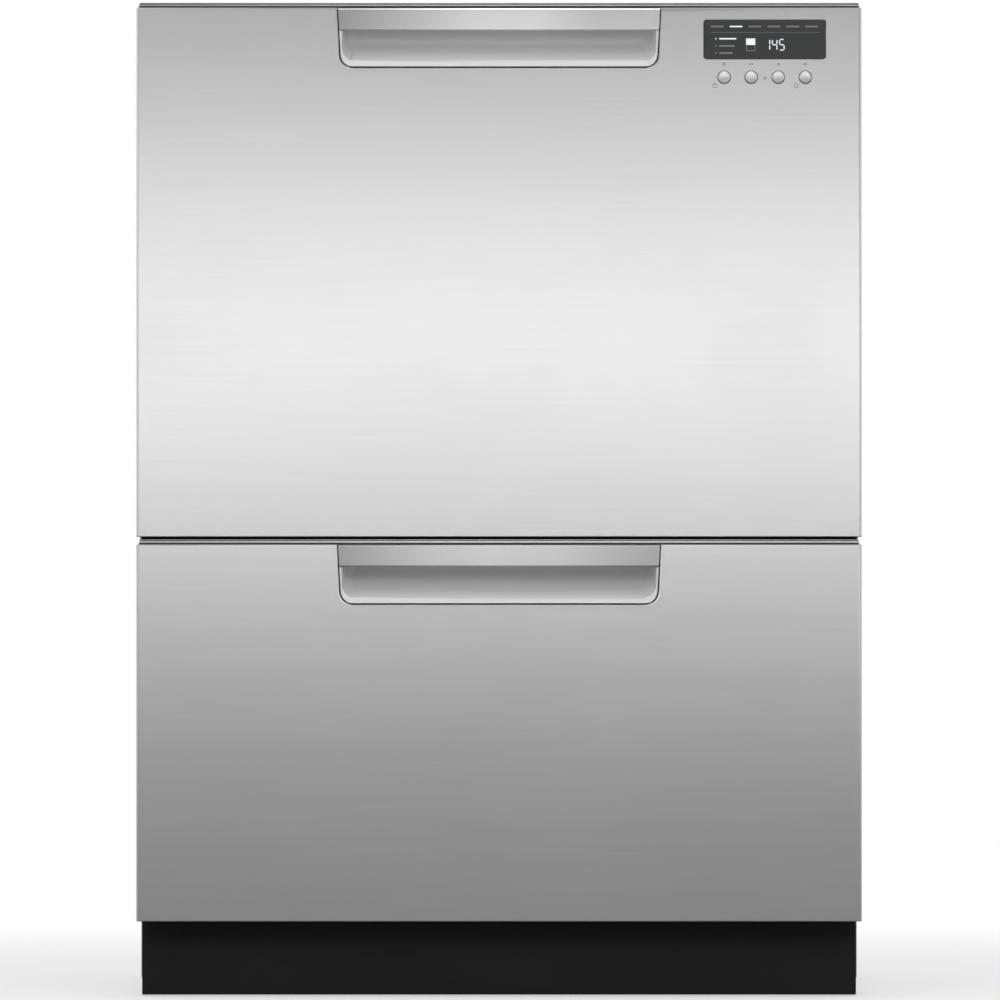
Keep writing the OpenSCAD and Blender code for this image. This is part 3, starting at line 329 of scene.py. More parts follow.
# %% Shader maths
class Wave:
    def __init__(self, nodes, socket):
        self.nodes = nodes
        self.socket = socket

    def maths(self, operation, first, second):
        return self.nodes.node("ShaderNodeMath", {"operation": operation}, {0: first, 1: second})

    def __add__(self, other):
        return self.maths("ADD", self, other)

    def __radd__(self, other):
        return self.maths("ADD", other, self)

    def __sub__(self, other):
        return self.maths("SUBTRACT", self, other)

    def __rsub__(self, other):
        return self.maths("SUBTRACT", other, self)

    def __mul__(self, other):
        return self.maths("MULTIPLY", self, other)

    def __rmul__(self, other):
        return self.maths("MULTIPLY", other, self)

    def __truediv__(self, other):
        return self.maths("DIVIDE", self, other)

    def clamp(self, low, high):
        return self.maths("MINIMUM", self.maths("MAXIMUM", self, low), high)


# %% One method for every node
class Nodes:
    def __init__(self, tree):
        self.tree = tree

    def fill(self, socket, value):
        if isinstance(value, Wave):
            self.tree.links.new(value.socket, socket)
        else:
            socket.default_value = value

    def node(self, kind, settings=None, sockets=None, output=0):
        made = self.tree.nodes.new(kind)
        for key, value in (settings or {}).items():
            if key == "stops":
                for stop, (place, shade) in zip(made.color_ramp.elements, value):
                    stop.position = place
                    stop.color = (shade, shade, shade, 1)
            else:
                setattr(made, key, value)
        for key, value in (sockets or {}).items():
            self.fill(made.inputs[key], value)
        return Wave(self, made.outputs[output])

    def ramp(self, wave, low, high):
        return self.node("ShaderNodeValToRGB", {"stops": ((low, 0), (high, 1))}, {"Fac": wave})

    def mix(self, share, first, second):
        """A colour between two. The colour sockets of a Mix node are its sixth and seventh."""
        return self.node("ShaderNodeMix", {"data_type": "RGBA"}, {0: share, 6: first, 7: second}, output=2)


# %% A finish in the making
class Paint(Nodes):
    def __init__(self, name, tone, roughness, metallic=0.0, **fixed):
        self.material = bpy.data.materials.new(name)
        self.material.use_nodes = True
        super().__init__(self.material.node_tree)
        self.shader = self.tree.nodes["Principled BSDF"]
        self.tone = tone
        self.put("Base Color", (*tone, 1))
        self.put("Roughness", roughness)
        self.put("Metallic", metallic)
        for key, value in fixed.items():
            self.put(key, value)

    def put(self, name, value):
        self.fill(self.shader.inputs[name], value)

    def place(self, stretch=(1, 1, 1)):
        """Object coordinates, in metres, stretched along the axes."""
        here = self.node("ShaderNodeTexCoord", output="Object")
        return self.node("ShaderNodeMapping", {}, {"Vector": here, "Scale": stretch})

    def noise(self, scale, stretch=(1, 1, 1), detail=3.0):
        return self.node("ShaderNodeTexNoise", {},
                         {"Vector": self.place(stretch), "Scale": scale, "Detail": detail})

    def shades(self, mask, darker, lighter):
        """The tone, darker where the mask is 0 and lighter where it is 1."""
        ends = [(*(part * share for part in self.tone), 1) for share in (darker, lighter)]
        self.metal = self.mix(mask, *ends)
        self.put("Base Color", self.metal)

    def bump(self, height, depth, strength=1.0):
        self.put("Normal", self.node("ShaderNodeBump", {}, {
            "Height": height, "Distance": depth, "Strength": strength}))


finishes = {}

# %% [markdown]
# ## Brushed steel
#
# The fronts are stainless sheet, ground with a belt from side to side. The grinding leaves short
# scratches along X, a few tenths of a millimetre high. Noise that is stretched along the belt's way
# makes them: one fine and one coarse, for the colour, the roughness and a very shallow bump.
# A larger, slower noise adds the faint smudges that hands leave.

# %% Brushed steel
STEEL = (0.62, 0.625, 0.62)
fine_lines, coarse_lines = (14, 900, 1500), (5, 300, 330)
full_contrast = 0.045


def brushed(slot, roughness, contrast, depth=0.00004, painted_highlight=None):
    """Steel brushed along X. The optional list gives places along X, each with a share that multiplies the
    base colour there: a painted highlight where the steel's reflection is brighter.
    """
    paint = Paint(slot, STEEL, roughness, metallic=1.0)
    fine = paint.noise(1.0, fine_lines, detail=4)
    coarse = paint.noise(1.0, coarse_lines, detail=2)
    smudge = paint.ramp(paint.noise(9, (1, 1, 1), detail=5), 0.45, 0.8)
    lines = fine * 0.6 + coarse * 0.4
    paint.shades(paint.ramp(lines, 0.3, 0.7), 1 - contrast, 1 + contrast)
    worn = contrast / full_contrast
    rough = roughness - 0.05 * worn + lines * (0.1 * worn) + smudge * (0.018 * worn)
    # Painted highlight: the base colour is multiplied by a share that runs between the listed places along
    # X.
    if painted_highlight:
        here = paint.node("ShaderNodeSeparateXYZ", {}, {0: paint.place()})
        for (start, from_share), (end, to_share) in zip(painted_highlight, painted_highlight[1:]):
            rise = (to_share - from_share) * ((here - start) / (end - start)).clamp(0, 1)
            share = rise + (share if start != painted_highlight[0][0] else from_share)
        highlighted_colour = paint.node("ShaderNodeMix", {"data_type": "RGBA", "blend_type": "MULTIPLY"}, {
            0: 1.0, 6: paint.metal, 7: share}, output=2)
        paint.put("Base Color", highlighted_colour)
    paint.put("Roughness", rough)
    if depth:
        paint.bump(fine, depth, 0.5)
    finishes[slot] = paint.material
    return paint


brushed("panel_steel", 0.33, contrast=0.035)
# The trim strips get a painted highlight, brightest near their middle.
brushed("trim_steel", 0.30, contrast=0.012, depth=0,
        painted_highlight=[(-0.30, 0.85), (-0.05, 1.35), (0.10, 1.30), (0.30, 1.10)])
# Painted highlights along the grip bars by place along X, brighter on the upper bar than on the lower one.
painted_bar_highlights = {
    "upper": [(-0.132, 0.74), (-0.06, 1.24), (-0.02, 1.54), (0.03, 1.56), (0.08, 1.23), (0.132, 1.23)],
    "lower": [(-0.132, 0.56), (-0.06, 0.89), (-0.01, 1.00), (0.05, 0.95), (0.09, 0.78), (0.132, 0.65)],
}
for drawer, places in painted_bar_highlights.items():
    brushed("handle_steel", 0.30, contrast=0.012, depth=0, painted_highlight=places)
    finishes[f"{drawer}_handle_steel"] = finishes["handle_steel"]
print("brushed steel:", [name for name in finishes])

# %% [markdown]
# ## Coated and galvanised steel
#
# The cabinet is galvanised sheet: zinc freezes in crystals, which show as patches of slightly
# different greys. Voronoi cells give the patches. The base pan and the runners are finer zinc
# plate, and the toe kick is powder coated, with the dimpled skin of a baked powder.

# %% Zinc
def zinc(slot, tone, roughness, crystal, contrast):
    paint = Paint(slot, tone, roughness, metallic=0.9)
    cells = paint.node("ShaderNodeTexVoronoi", {}, {"Vector": paint.place(), "Scale": 1 / crystal},
                       output=1)
    grey = paint.node("ShaderNodeSeparateColor", {}, {0: cells})
    mottle = paint.noise(40, detail=4)
    paint.shades(grey * 0.7 + mottle * 0.3, 1 - contrast, 1 + contrast)
    paint.put("Roughness", roughness + 0.08 * (grey - 0.5) + 0.06 * (mottle - 0.5))
    paint.bump(paint.noise(600), 0.00002, 0.4)
    finishes[slot] = paint.material


zinc("cabinet_steel", (0.56, 0.57, 0.58), 0.42, 0.011, 0.07)
zinc("pan_steel", (0.52, 0.53, 0.54), 0.45, 0.016, 0.08)
zinc("runner_steel", (0.60, 0.60, 0.58), 0.40, 0.0015, 0.02)


# %% Powder coating
def powder(slot, tone, roughness, shine):
    paint = Paint(slot, tone, roughness, **{"Specular IOR Level": shine})
    peel = paint.noise(700, detail=2)
    dust = paint.noise(14, detail=6)
    paint.shades(dust, 0.8, 1.25)
    paint.put("Roughness", roughness + 0.12 * (peel - 0.5) + 0.12 * (dust - 0.5))
    paint.bump(peel, 0.00012, 0.6)
    finishes[slot] = paint.material


powder("kick_black", (0.0095, 0.0098, 0.0104), 0.52, 0.15)
powder("rail_black", (0.016, 0.016, 0.017), 0.58, 0.22)

# %% [markdown]
# ## Moulded plastics
#
# The tub, the liner, the lid and the small parts are moulded. The mould's grain shows as a fine
# bump, the surface is a little shinier where the melt flowed fast, and the colour is very slightly
# cloudy. One function makes them all, with its own grain and gloss for each.

# %% Moulded plastic
def moulded(slot, tone, roughness, grain=900, depth=0.00005, cloud=0.05, **fixed):
    paint = Paint(slot, tone, roughness, **fixed)
    skin = paint.noise(grain, detail=2)
    flow = paint.noise(7, (1, 1, 2.5), detail=4)
    paint.shades(flow, 1 - cloud, 1 + cloud)
    paint.put("Roughness", roughness + 0.1 * (skin - 0.5) + 0.12 * (flow - 0.5))
    paint.bump(skin, depth, 0.5)
    finishes[slot] = paint.material
    return paint


moulded("liner_plastic", (0.13, 0.135, 0.14), 0.55)
moulded("tub_plastic", (0.50, 0.52, 0.53), 0.34, grain=1500, depth=0.00003, cloud=0.03)
moulded("lid_plastic", (0.55, 0.57, 0.58), 0.42, cloud=0.03)
moulded("seal_rubber", (0.035, 0.036, 0.038), 0.62, grain=1800)
moulded("actuator_plastic", (0.16, 0.165, 0.17), 0.5)
moulded("housing_plastic", (0.03, 0.031, 0.033), 0.5)
moulded("pump_plastic", (0.05, 0.052, 0.055), 0.48)
moulded("spray_plastic", (0.42, 0.44, 0.46), 0.36, cloud=0.04)
moulded("filter_plastic", (0.20, 0.21, 0.22), 0.42)
moulded("basket_plastic", (0.20, 0.215, 0.23), 0.44, grain=1200)
moulded("dispenser_plastic", (0.60, 0.61, 0.61), 0.38, cloud=0.03)
moulded("door_plastic", (0.35, 0.36, 0.37), 0.36)
moulded("valve_plastic", (0.72, 0.72, 0.69), 0.44)
moulded("tail_plastic", (0.07, 0.07, 0.075), 0.46)
moulded("gland_rubber", (0.025, 0.025, 0.027), 0.66, grain=1800)
moulded("foot_plastic", (0.05, 0.05, 0.052), 0.6)

# %% [markdown]
# The racks are steel wire dipped in nylon powder: a thick soft-edged coat with a low shine. A
# clear coat over a slightly rough base gives it. The cup racks wear the same coat.

# %% Nylon coated wire
for slot in ("rack_coating", "cup_rack_plastic"):
    moulded(slot, (0.24, 0.27, 0.30), 0.40, grain=500, depth=0.00008, **{"Coat Weight": 0.35})

# %% [markdown]
# The recess of the handle is moulded and painted silver: a metallic paint, whose flakes sparkle a
# little. The window is a smoke coloured lens with a hard gloss, and its marks glow from behind.

# %% Silver paint
paint = Paint("cup_steel", (0.665, 0.67, 0.665), 0.45, metallic=0.25)
flakes = paint.noise(2600, detail=1)
haze = paint.noise(12, detail=3)
paint.shades(flakes * 0.5 + haze * 0.5, 0.94, 1.04)
paint.put("Roughness", 0.42 + 0.08 * flakes)
paint.bump(flakes, 0.00002, 0.4)
finishes["cup_steel"] = paint.material

# %% Turned metal of the buttons
paint = Paint("button_metal", (0.66, 0.665, 0.66), 0.30, metallic=1.0)
grind = paint.noise(1.0, (900, 40, 900), detail=3)
paint.shades(grind, 0.94, 1.05)
paint.put("Roughness", 0.29 + 0.08 * grind)
paint.bump(grind, 0.00002, 0.4)
finishes["button_metal"] = paint.material

# %% Window, lit marks and printed marks
paint = Paint("window_black", (0.036, 0.037, 0.038), 0.12, **{"Coat Weight": 1.0})
depths = paint.noise(16, detail=3)
paint.shades(depths, 0.9, 1.1)
paint.put("Roughness", 0.10 + 0.05 * depths)
finishes["window_black"] = paint.material


def glowing(name, shade, ground=(0.04, 0.04, 0.04)):
    """A mark that is lit from behind, its brightness a little uneven."""
    paint = Paint(name, ground, 0.4, **{"Emission Strength": 1.0})
    spread = paint.noise(300, detail=1)
    darker, lighter = (0.94, 0.96, 1), (1.05, 1.07, 1.1)
    ends = [(*(part * shade for part in tint), 1) for tint in (darker, lighter)]
    paint.put("Emission Color", paint.mix(spread, *ends))
    return paint.material


lit = glowing("lit_mark", 0.85)
dim = glowing("dim_mark", 0.14)
paint = Paint("printed_ink", (0.07, 0.07, 0.07), 0.5)
paint.shades(paint.noise(1200, detail=2), 0.85, 1.15)
ink = paint.material
paint = Paint("screw_zinc", (0.62, 0.62, 0.60), 0.34, metallic=1.0)
paint.shades(paint.noise(500, detail=3), 0.85, 1.08)
screw_zinc = paint.material
print(f"{len(bpy.data.materials)} materials")

# %% [markdown]
# ## Dressing a part
#
# Each new piece takes the finish of its slot, moves with the body that carries the real part, and
# stands for the plain solids that it replaces. Solids that stay only take the finish.

# %% Fit a piece
def fit(piece, body, slot, *nodes, material=None):
    piece.data.materials.clear()
    piece.data.materials.append(material or finishes[slot])
    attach(piece, body)
    if nodes:
        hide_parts(*nodes)
    print(f"{piece.name}: {len(piece.data.polygons)} faces, with {body}")
    return piece


def dress(node, slot):
    solid = frame["nodes"][node]
    solid.data.materials.clear()
    solid.data.materials.append(finishes[slot])


PLAIN = {
    "base_pan": "pan_steel", "mid_rail": "rail_black", "fixed_runners": "runner_steel",
    "lid_actuators": "actuator_plastic", "control_housing": "housing_plastic",
}
for drawer in DRAWERS:
    PLAIN.update({
        f"{drawer}_runner_mid": "runner_steel", f"{drawer}_runner_inner": "runner_steel",
        f"{drawer}_lid": "lid_plastic", f"{drawer}_lid_seal": "seal_rubber",
        f"{drawer}_front_liner": "liner_plastic", f"{drawer}_wash_pump": "pump_plastic",
        f"{drawer}_filter_plate": "filter_plastic",
    })
for node, slot in PLAIN.items():
    dress(node, slot)
print(f"{len(PLAIN)} solids stay and take a finish")

# %% [markdown]
# ## Fronts
#
# A front is one stainless sheet, folded back on all four sides. The folds on the upright edges are
# rounder than those at the top and the bottom. A block gives the outside, its back is opened, and
# Solidify gives the sheet its thickness. The hand pocket and the holes are cut last, as a press
# would punch them, and a fine bevel breaks the cut edges.
#
# The pocket is a block that narrows downwards and has two round corners. The cup fits it, so its
# size comes from the cup.

# %% The pocket's outline
fit_gap = 0.3 * mm
shadow_gap = 0.8 * mm  # the cup and the bar stand back this much further, which draws a dark line
slope_width, slope_depth, window_slope = 1.3 * mm, 0.6 * mm, 0.6 * mm
pocket_corner = 10 * mm
pocket_narrows = 2.5 * mm


def pocket_block(name, drawer, grow, front, back, top):
    low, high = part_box(f"{drawer}_handle_cup")
    low_x, high_x = low.x - grow, high.x + grow
    piece = block(name, (low_x, front, low.z - grow), (high_x, back, top))
    share = 1 - pocket_narrows / high_x
    resize_faces(piece, facing(Z, -1), (share, 1, 1), (0, 0, 0))
    low_end = within(Z, low.z - grow - mm, low.z + mm)
    round_edges(piece, both(along(Y), low_end), pocket_corner + grow, 10)
    return piece


# %% Upper and lower front
BUTTONS = [f"button_{i}" for i in range(1, 5)]
button_hole, window_corner = 5.6 * mm, 2 * mm
lead = 0.02 * mm  # a cutter starts this much before the face that it cuts
skin = 1 * mm
side_radius = 2.5 * mm
fold_radius = 0.8 * mm


def top_slope(low, high):
    """The cutter for the slope along the top edge of a front or a bar, which shows as a bright line."""
    over = 0.1 * mm
    cutter = block("cutter", (-high.x - mm, low.y - lead, high.z - slope_width),
                   (high.x + mm, low.y + slope_depth, high.z + over))
    resize_faces(cutter, facing(Y, 1), (1, 1, over / (slope_width + over)), (0, 0, high.z + over))
    return cutter


def window_cutters(face):
    """The cutter for the window's hole, and one for the slope round it."""
    low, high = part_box("display_window")
    gap = Vector((fit_gap, 2 * mm, fit_gap))
    middle, half = centre_of("display_window"), (high - low) / 2 + gap
    hole = block("cutter", low - gap, high + gap)
    round_edges(hole, along(Y), window_corner, 4)
    slope = block("cutter", (middle.x - half.x, face - lead, middle.z - half.z),
                  (middle.x + half.x, face + window_slope, middle.z + half.z))
    round_edges(slope, along(Y), window_corner, 4)
    share = (1 + window_slope / half.x, 1, 1 + window_slope / half.z)
    resize_faces(slope, facing(Y, -1), share, middle)
    return hole, slope


def button_cutter(button):
    middle = centre_of(button)
    return bar("cutter", middle - Vector((0, 8 * mm, 0)), middle + Vector((0, 4 * mm, 0)), button_hole)


def front_sheet(drawer):
    low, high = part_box(f"{drawer}_front_panel")
    sheet = block(f"{drawer}_front_sheet", low, high)
    round_edges(sheet, both(along(Z), at(Y, low.y)), side_radius, 5)
    near_face = within(Y, low.y - mm, low.y + side_radius + 0.1 * mm)
    round_edges(sheet, both(at(Z, low.z), near_face), fold_radius, 2)
    remove_faces(sheet, facing(Y, 1))
    thicken(sheet, skin)
    cutters = [pocket_block("cutter", drawer, fit_gap, low.y - mm, low.y + 8 * mm, high.z + mm)]
    slope = pocket_block("cutter", drawer, fit_gap, low.y - lead, low.y + slope_depth, high.z + mm)
    share = 1 + slope_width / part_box(f"{drawer}_handle_cup")[1].x
    resize_faces(slope, facing(Y, -1), (share, 1, share), (0, 0, high.z))
    slopes = [slope, top_slope(low, high)]
    if drawer == "upper":
        hole, slope = window_cutters(low.y)
        cutters += [hole, *(button_cutter(button) for button in BUTTONS)]
        slopes.append(slope)
    carve(sheet, *cutters)
    for cutter in slopes:
        carve(sheet, cutter)
    soften(sheet, 0.25 * mm)
    fit(sheet, f"{drawer}_drawer", "panel_steel", f"{drawer}_front_panel")


for drawer in DRAWERS:
    front_sheet(drawer)

# %% [markdown]
# ## Trim strips
#
# A strip of steel covers the top edge of each front. Its ends are cut at a slant, so its top is
# shorter than its foot. A groove along its face and a step at its foot draw two dark lines, and a
# dark strip laid in each is painted shade that makes these lines darker.

# %% Trim strips
trim_slant = math.radians(30)
groove_depth, groove_end, groove_back = 1.2 * mm, 1.5 * mm, 0.4 * mm


def top_trim(drawer):
    low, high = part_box(f"{drawer}_top_trim")
    strip = block(f"{drawer}_trim_strip", low, high)
    height = high.z - low.z
    share = 1 - height * math.tan(trim_slant) / high.x
    resize_faces(strip, facing(Z, 1), (share, 1, 1), (0, 0, high.z))
    for name, foot, head in (("groove", 2.6, 3.5), ("step", -1.0, 1.6)):
        foot, head = low.z + foot * mm, low.z + head * mm
        carve(strip, block("cutter", (low.x, low.y - mm, foot), (high.x, low.y + groove_depth, head)))
        # Painted shade: a dark strip in the seal rubber finish fills the groove and the step.
        shade_strip = block(f"{drawer}_trim_{name}_strip",
                     (low.x + groove_end, low.y + groove_back, max(foot, low.z)),
                     (high.x - groove_end, low.y + groove_depth, head))
        fit(shade_strip, f"{drawer}_drawer", "seal_rubber")
    soften(strip, 0.12 * mm)
    fit(strip, f"{drawer}_drawer", "trim_steel", f"{drawer}_top_trim")


for drawer in DRAWERS:
    top_trim(drawer)

# %% [markdown]
# ## Grip bars
#
# Fingers pull on a thick strip across the top of the pocket. Its lower front edge is well rounded,
# which shows as a bright line with a dark one under it.

# %% Grip bars
def grip_bar(drawer):
    low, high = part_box(f"{drawer}_grip_bar")
    side_gap = Vector((shadow_gap, 0, 0))
    grip = block(f"{drawer}_grip", low + side_gap, high - side_gap)
    cup_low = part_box(f"{drawer}_handle_cup")[0]
    narrows = pocket_narrows * (high.z - low.z) / (high.z - cup_low.z)
    share = 1 - narrows / high.x
    resize_faces(grip, facing(Z, -1), (share, 1, 1), (0, 0, low.z))
    round_edges(grip, both(along(X), both(at(Y, low.y), at(Z, low.z))), 1.2 * mm, 4)
    carve(grip, top_slope(low, high))
    soften(grip, 0.3 * mm)
    smooth(grip, 5)
    fit(grip, f"{drawer}_drawer", "handle_steel", f"{drawer}_grip_bar",
        material=finishes[f"{drawer}_handle_steel"])


for drawer in DRAWERS:
    grip_bar(drawer)

# %% [markdown]
# ## Hand pockets
#
# The cup behind the bar is one moulding: a rim that lies in the sheet's cut-out, and a hollow whose
# floor climbs towards the back, so that it catches the light below and is dark under the bar. The
# hollow is carved with a block that narrows to the back and has large rounded edges.

# %% Cups
rim_width = 2.6 * mm
lip = 2.1 * mm
hollow_corner = 8.5 * mm
wall = 1.5 * mm
outside_narrows, hollow_narrows = (0.97, 1, 0.72), (0.96, 1, 0.5)


def cup_hollow(low, high):
    """The cutter for the hollow, and a flared one that turns its front edge into a lip."""
    side, start, deep, roof = rim_width + shadow_gap, low.y - mm, high.y - wall, high.z - wall
    floor = low.z + side
    hollow = block("cutter", (low.x + side, start, floor), (high.x - side, deep, roof))
    resize_faces(hollow, facing(Y, 1), hollow_narrows, (0, 0, roof))
    round_edges(hollow, lambda edge: not at(Y, start)(edge), hollow_corner, 8)
    flare = block("cutter", (low.x + side, low.y - 0.01 * mm, floor), (high.x - side, low.y + lip, roof))
    round_edges(flare, both(along(Y), at(Z, floor)), hollow_corner, 8)
    depth = (low.y + lip - start) / (deep - start)
    narrowed = [1 - depth * (1 - share) for share in hollow_narrows]
    widened = (1 + lip / (high.x - side), 1, 1 + lip / (roof - floor))
    resize_faces(flare, facing(Y, 1), narrowed, (0, 0, roof))
    resize_faces(flare, facing(Y, -1), widened, (0, 0, roof))
    return hollow, flare


def hand_cup(drawer):
    low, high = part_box(f"{drawer}_handle_cup")
    grip_low, grip_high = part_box(f"{drawer}_grip_bar")
    cup = pocket_block(f"{drawer}_cup", drawer, -shadow_gap, low.y, high.y, high.z)
    resize_faces(cup, facing(Y, 1), outside_narrows, (0, 0, high.z))
    for cutter in cup_hollow(low, high):
        carve(cup, cutter)
    above_bar = block("cutter", (2 * low.x, low.y - mm, grip_low.z - 0.2 * mm),
                      (2 * high.x, grip_high.y + fit_gap, high.z + mm))
    carve(cup, above_bar)
    soften(cup, 0.3 * mm, angle=50)
    fit(cup, f"{drawer}_drawer", "cup_steel", f"{drawer}_handle_cup")


for drawer in DRAWERS:
    hand_cup(drawer)

# %% [markdown]
# ## Display window
#
# The window is a smoke coloured lens with a polished edge. Behind it light up short bars, a line of
# choices, a gauge and a number of three digits. All of them are thin plates on the lens. The number
# is built as on the real thing, from seven segments.

# %% Window
window_low, window_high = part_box("display_window")
window = block("window_lens", window_low, window_high)
round_edges(window, along(Y), window_corner, 5)
soften(window, 0.5 * mm, 3)
fit(window, "upper_drawer", "window_black", "display_window")


# %% Marks on the window
mark_t = 0.06 * mm


def mark(x, z, width, height):
    """A plate on the lens, placed from the window's upper left corner."""
    left, top = window_low.x + x, window_high.z - z
    return block("mark", (left, window_low.y - mark_t, top - height),
                 (left + width, window_low.y + mark_t, top))


SEGMENTS = {1: "bc", 4: "fgbc", 5: "afgcd"}
digit_w, digit_h, stroke = 4.6 * mm, 9.6 * mm, 0.9 * mm


def digit(number, x, z):
    """Seven segments: a on top, then clockwise, with g in the middle."""
    long, half = digit_w - 2 * stroke, (digit_h - 3 * stroke) / 2
    right, middle = digit_w - stroke, stroke + half
    places = {
        "a": (stroke, 0, long, stroke), "g": (stroke, middle, long, stroke),
        "d": (stroke, digit_h - stroke, long, stroke),
        "b": (right, stroke, stroke, half), "c": (right, middle + stroke, stroke, half),
        "f": (0, stroke, stroke, half), "e": (0, middle + stroke, stroke, half),
    }
    made = []
    for letter in SEGMENTS[number]:
        dx, dz, width, height = places[letter]
        made.append(mark(x + dx, z + dz, width, height))
    return made


margin, bar_pitch, line_pitch, bar_h, dot = 5.5, 15.6, 5.9, 1.2 * mm, 1 * mm
gauge_x, gauge_w, gauge_foot, line_w = 34.6 * mm, 7.6 * mm, 20.8 * mm, 0.5 * mm
bars = [mark((margin + bar_pitch * i) * mm, 4.3 * mm, 10.5 * mm, bar_h) for i in range(6)]
choices = [mark(12.5 * mm, (14.4 + line_pitch * i) * mm, (14 - 1.5 * i) * mm, bar_h) for i in range(3)]
dots = [mark(9.2 * mm, (14.5 + line_pitch * i) * mm, dot, dot) for i in range(3)]
gauge = mark(gauge_x, 14.8 * mm, gauge_w, 5.4 * mm)
frame_marks = [mark(gauge_x, gauge_foot, line_w, 4.4 * mm),
               mark(gauge_x + gauge_w - line_w, gauge_foot, line_w, 4.4 * mm),
               mark(gauge_x, 24.7 * mm, gauge_w, line_w)]
rule = mark(margin * mm, 9.6 * mm, 90 * mm, 0.25 * mm)
digits = [part for i, n in enumerate((1, 4, 5)) for part in digit(n, (50 + line_pitch * i) * mm, 15.2 * mm)]
lit_marks = join("window_lit_marks", [bars[1], choices[0], dots[0], gauge, *digits])
dim_marks = join("window_dim_marks", [bars[0], *bars[2:], *choices[1:], *dots[1:], *frame_marks, rule])
fit(lit_marks, "upper_drawer", None, material=lit)
fit(dim_marks, "upper_drawer", None, material=dim)

# %% [markdown]
# ## Buttons
#
# Each button is a turned metal cap with a bevelled edge and a face that is dished by a hair. It
# stands in its own hole, with a dark gap round it. Small plain marks are printed above the buttons
# and beside them.

# %% Button caps
for i, node in enumerate(BUTTONS, 1):
    low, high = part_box(node)
    radius, length = (high.x - low.x) / 2, high.y - low.y
    outline = [(0, 0.25 * mm), (radius - 1.4 * mm, 0.12 * mm), (radius - 0.8 * mm, 0),
               (radius - 0.45 * mm, 0.08 * mm), (radius, 0.55 * mm), (radius, length), (0, length)]
    middle = (low + high) / 2
    cap = turned(f"{node}_cap", outline, (middle.x, low.y, middle.z), axis=Y)
    fit(cap, f"key_{i}", "button_metal", node)


# %% Printed marks
print_t = 0.03 * mm
face_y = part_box("upper_front_panel")[0].y


def printed(x, z, width, height):
    return block("mark", (x - width / 2, face_y - print_t, z - height / 2),
                 (x + width / 2, face_y + print_t, z + height / 2))


def printed_ring(x, z, radius, stroke):
    ring = bar("mark", (x, face_y - print_t, z), (x, face_y + print_t, z), radius)
    carve(ring, bar("cutter", (x, face_y - mm, z), (x, face_y + mm, z), radius - stroke))
    return ring


def printed_wedge(x, z, size):
    """A small triangle that points to +X."""
    deselect()
    bpy.ops.mesh.primitive_cylinder_add(
        vertices=3, radius=size, depth=2 * print_t, location=(x, face_y, z),
        rotation=(math.pi / 2, math.pi / 2, 0))
    return settle("mark")


first, second, third, fourth = (centre_of(node) for node in BUTTONS)
row_z = first.z + 10.9 * mm
beside, below, pen = 7.6 * mm, first.z - 7 * mm, 0.4 * mm
marks = [
    printed_ring(first.x, row_z, 1.3 * mm, 0.35 * mm),
    printed(first.x, row_z, pen, 1.2 * mm),
    printed_wedge(second.x - 1 * mm, row_z, 1.0 * mm),
    printed_wedge(second.x + 0.8 * mm, row_z, 1.0 * mm),
    printed(third.x, row_z, 2.2 * mm, 0.5 * mm),
    printed(third.x, row_z, 0.5 * mm, 2.2 * mm),
    printed_wedge(fourth.x - 0.6 * mm, row_z, 1.1 * mm),
    printed(fourth.x + 1.2 * mm, row_z, pen, 1.8 * mm),
    printed_ring(first.x - beside, below, 1.9 * mm, pen),
    printed(first.x - beside, below + 1.2 * mm, pen, 1.6 * mm),
    printed_ring(fourth.x - beside, below, 1.9 * mm, pen),
    printed_ring((second.x + third.x) / 2, second.z - 0.8 * mm, 1.1 * mm, 0.5 * mm),
]
fit(join("printed_marks", marks), "upper_drawer", None, material=ink)

# %% [markdown]
# ## Sheet metal
#
# Large thin sheets rattle, so their middles are pressed a little inwards. To press a field, the
# sheet is first split along the field's edges. The faces inside are then inset and pushed in, which
# gives the slope that a press tool leaves.

# %% Press a field
def split(piece, axis, *places):
    normal = [0, 0, 0]
    normal[axis] = 1
    for place in places:
        pick(piece, lambda face: True)
        bpy.ops.mesh.bisect(plane_co=[part * place for part in normal], plane_no=normal)
        close()


def press(piece, facing_test, axes, field, depth, slope=4 * mm):
    """Presses the faces in a field, given as low and high on two axes."""
    (low_a, high_a), (low_b, high_b) = field
    inside = both(within(axes[0], low_a - mm, high_a + mm), within(axes[1], low_b - mm, high_b + mm))
    pick(piece, both(facing_test, inside))
    bpy.ops.mesh.inset(thickness=slope, depth=-depth)
    close()


# %% [markdown]
# ## Screws
#
# One pan head screw serves everywhere: a domed head with a cross recess. It is turned round Z and
# then laid along Y, with its head to the back, or to the front where the sign is -1.

# %% Screw heads
def screw(place, sign=1, radius=3.5 * mm, height=2.2 * mm):
    outline = [(0, height), (radius * 0.45, height * 0.96), (radius * 0.8, height * 0.72),
               (radius * 0.97, height * 0.35), (radius, 0), (0, 0)]
    head = turned("screw", outline, (0, 0, 0), steps=20)
    arm = 0.55 * radius
    for turn in (0, math.pi / 2):
        slot = block("cutter", (-arm, -0.14 * radius, 0.45 * height), (arm, 0.14 * radius, 2 * height))
        only(slot)
        slot.rotation_euler = (0, 0, turn)
        settle("cutter")
        carve(head, slot)
    only(head)
    head.rotation_euler = (-sign * math.pi / 2, 0, 0)
    head.location = place
    return settle("screw")


def screws(name, body, places, sign=1, **size):
    heads = [screw(place, sign, **size) for place in places]
    fit(join(name, heads), body, None, material=screw_zinc)


# %% [markdown]
# ## Cabinet
#
# The sides and the top are one sheet, folded twice. It is open in front, below and behind. Its foot
# is notched for the toe kick, and four holes on each side are for screws that hold it to the
# cupboards. The fields lie between the heights where the runners are fixed.

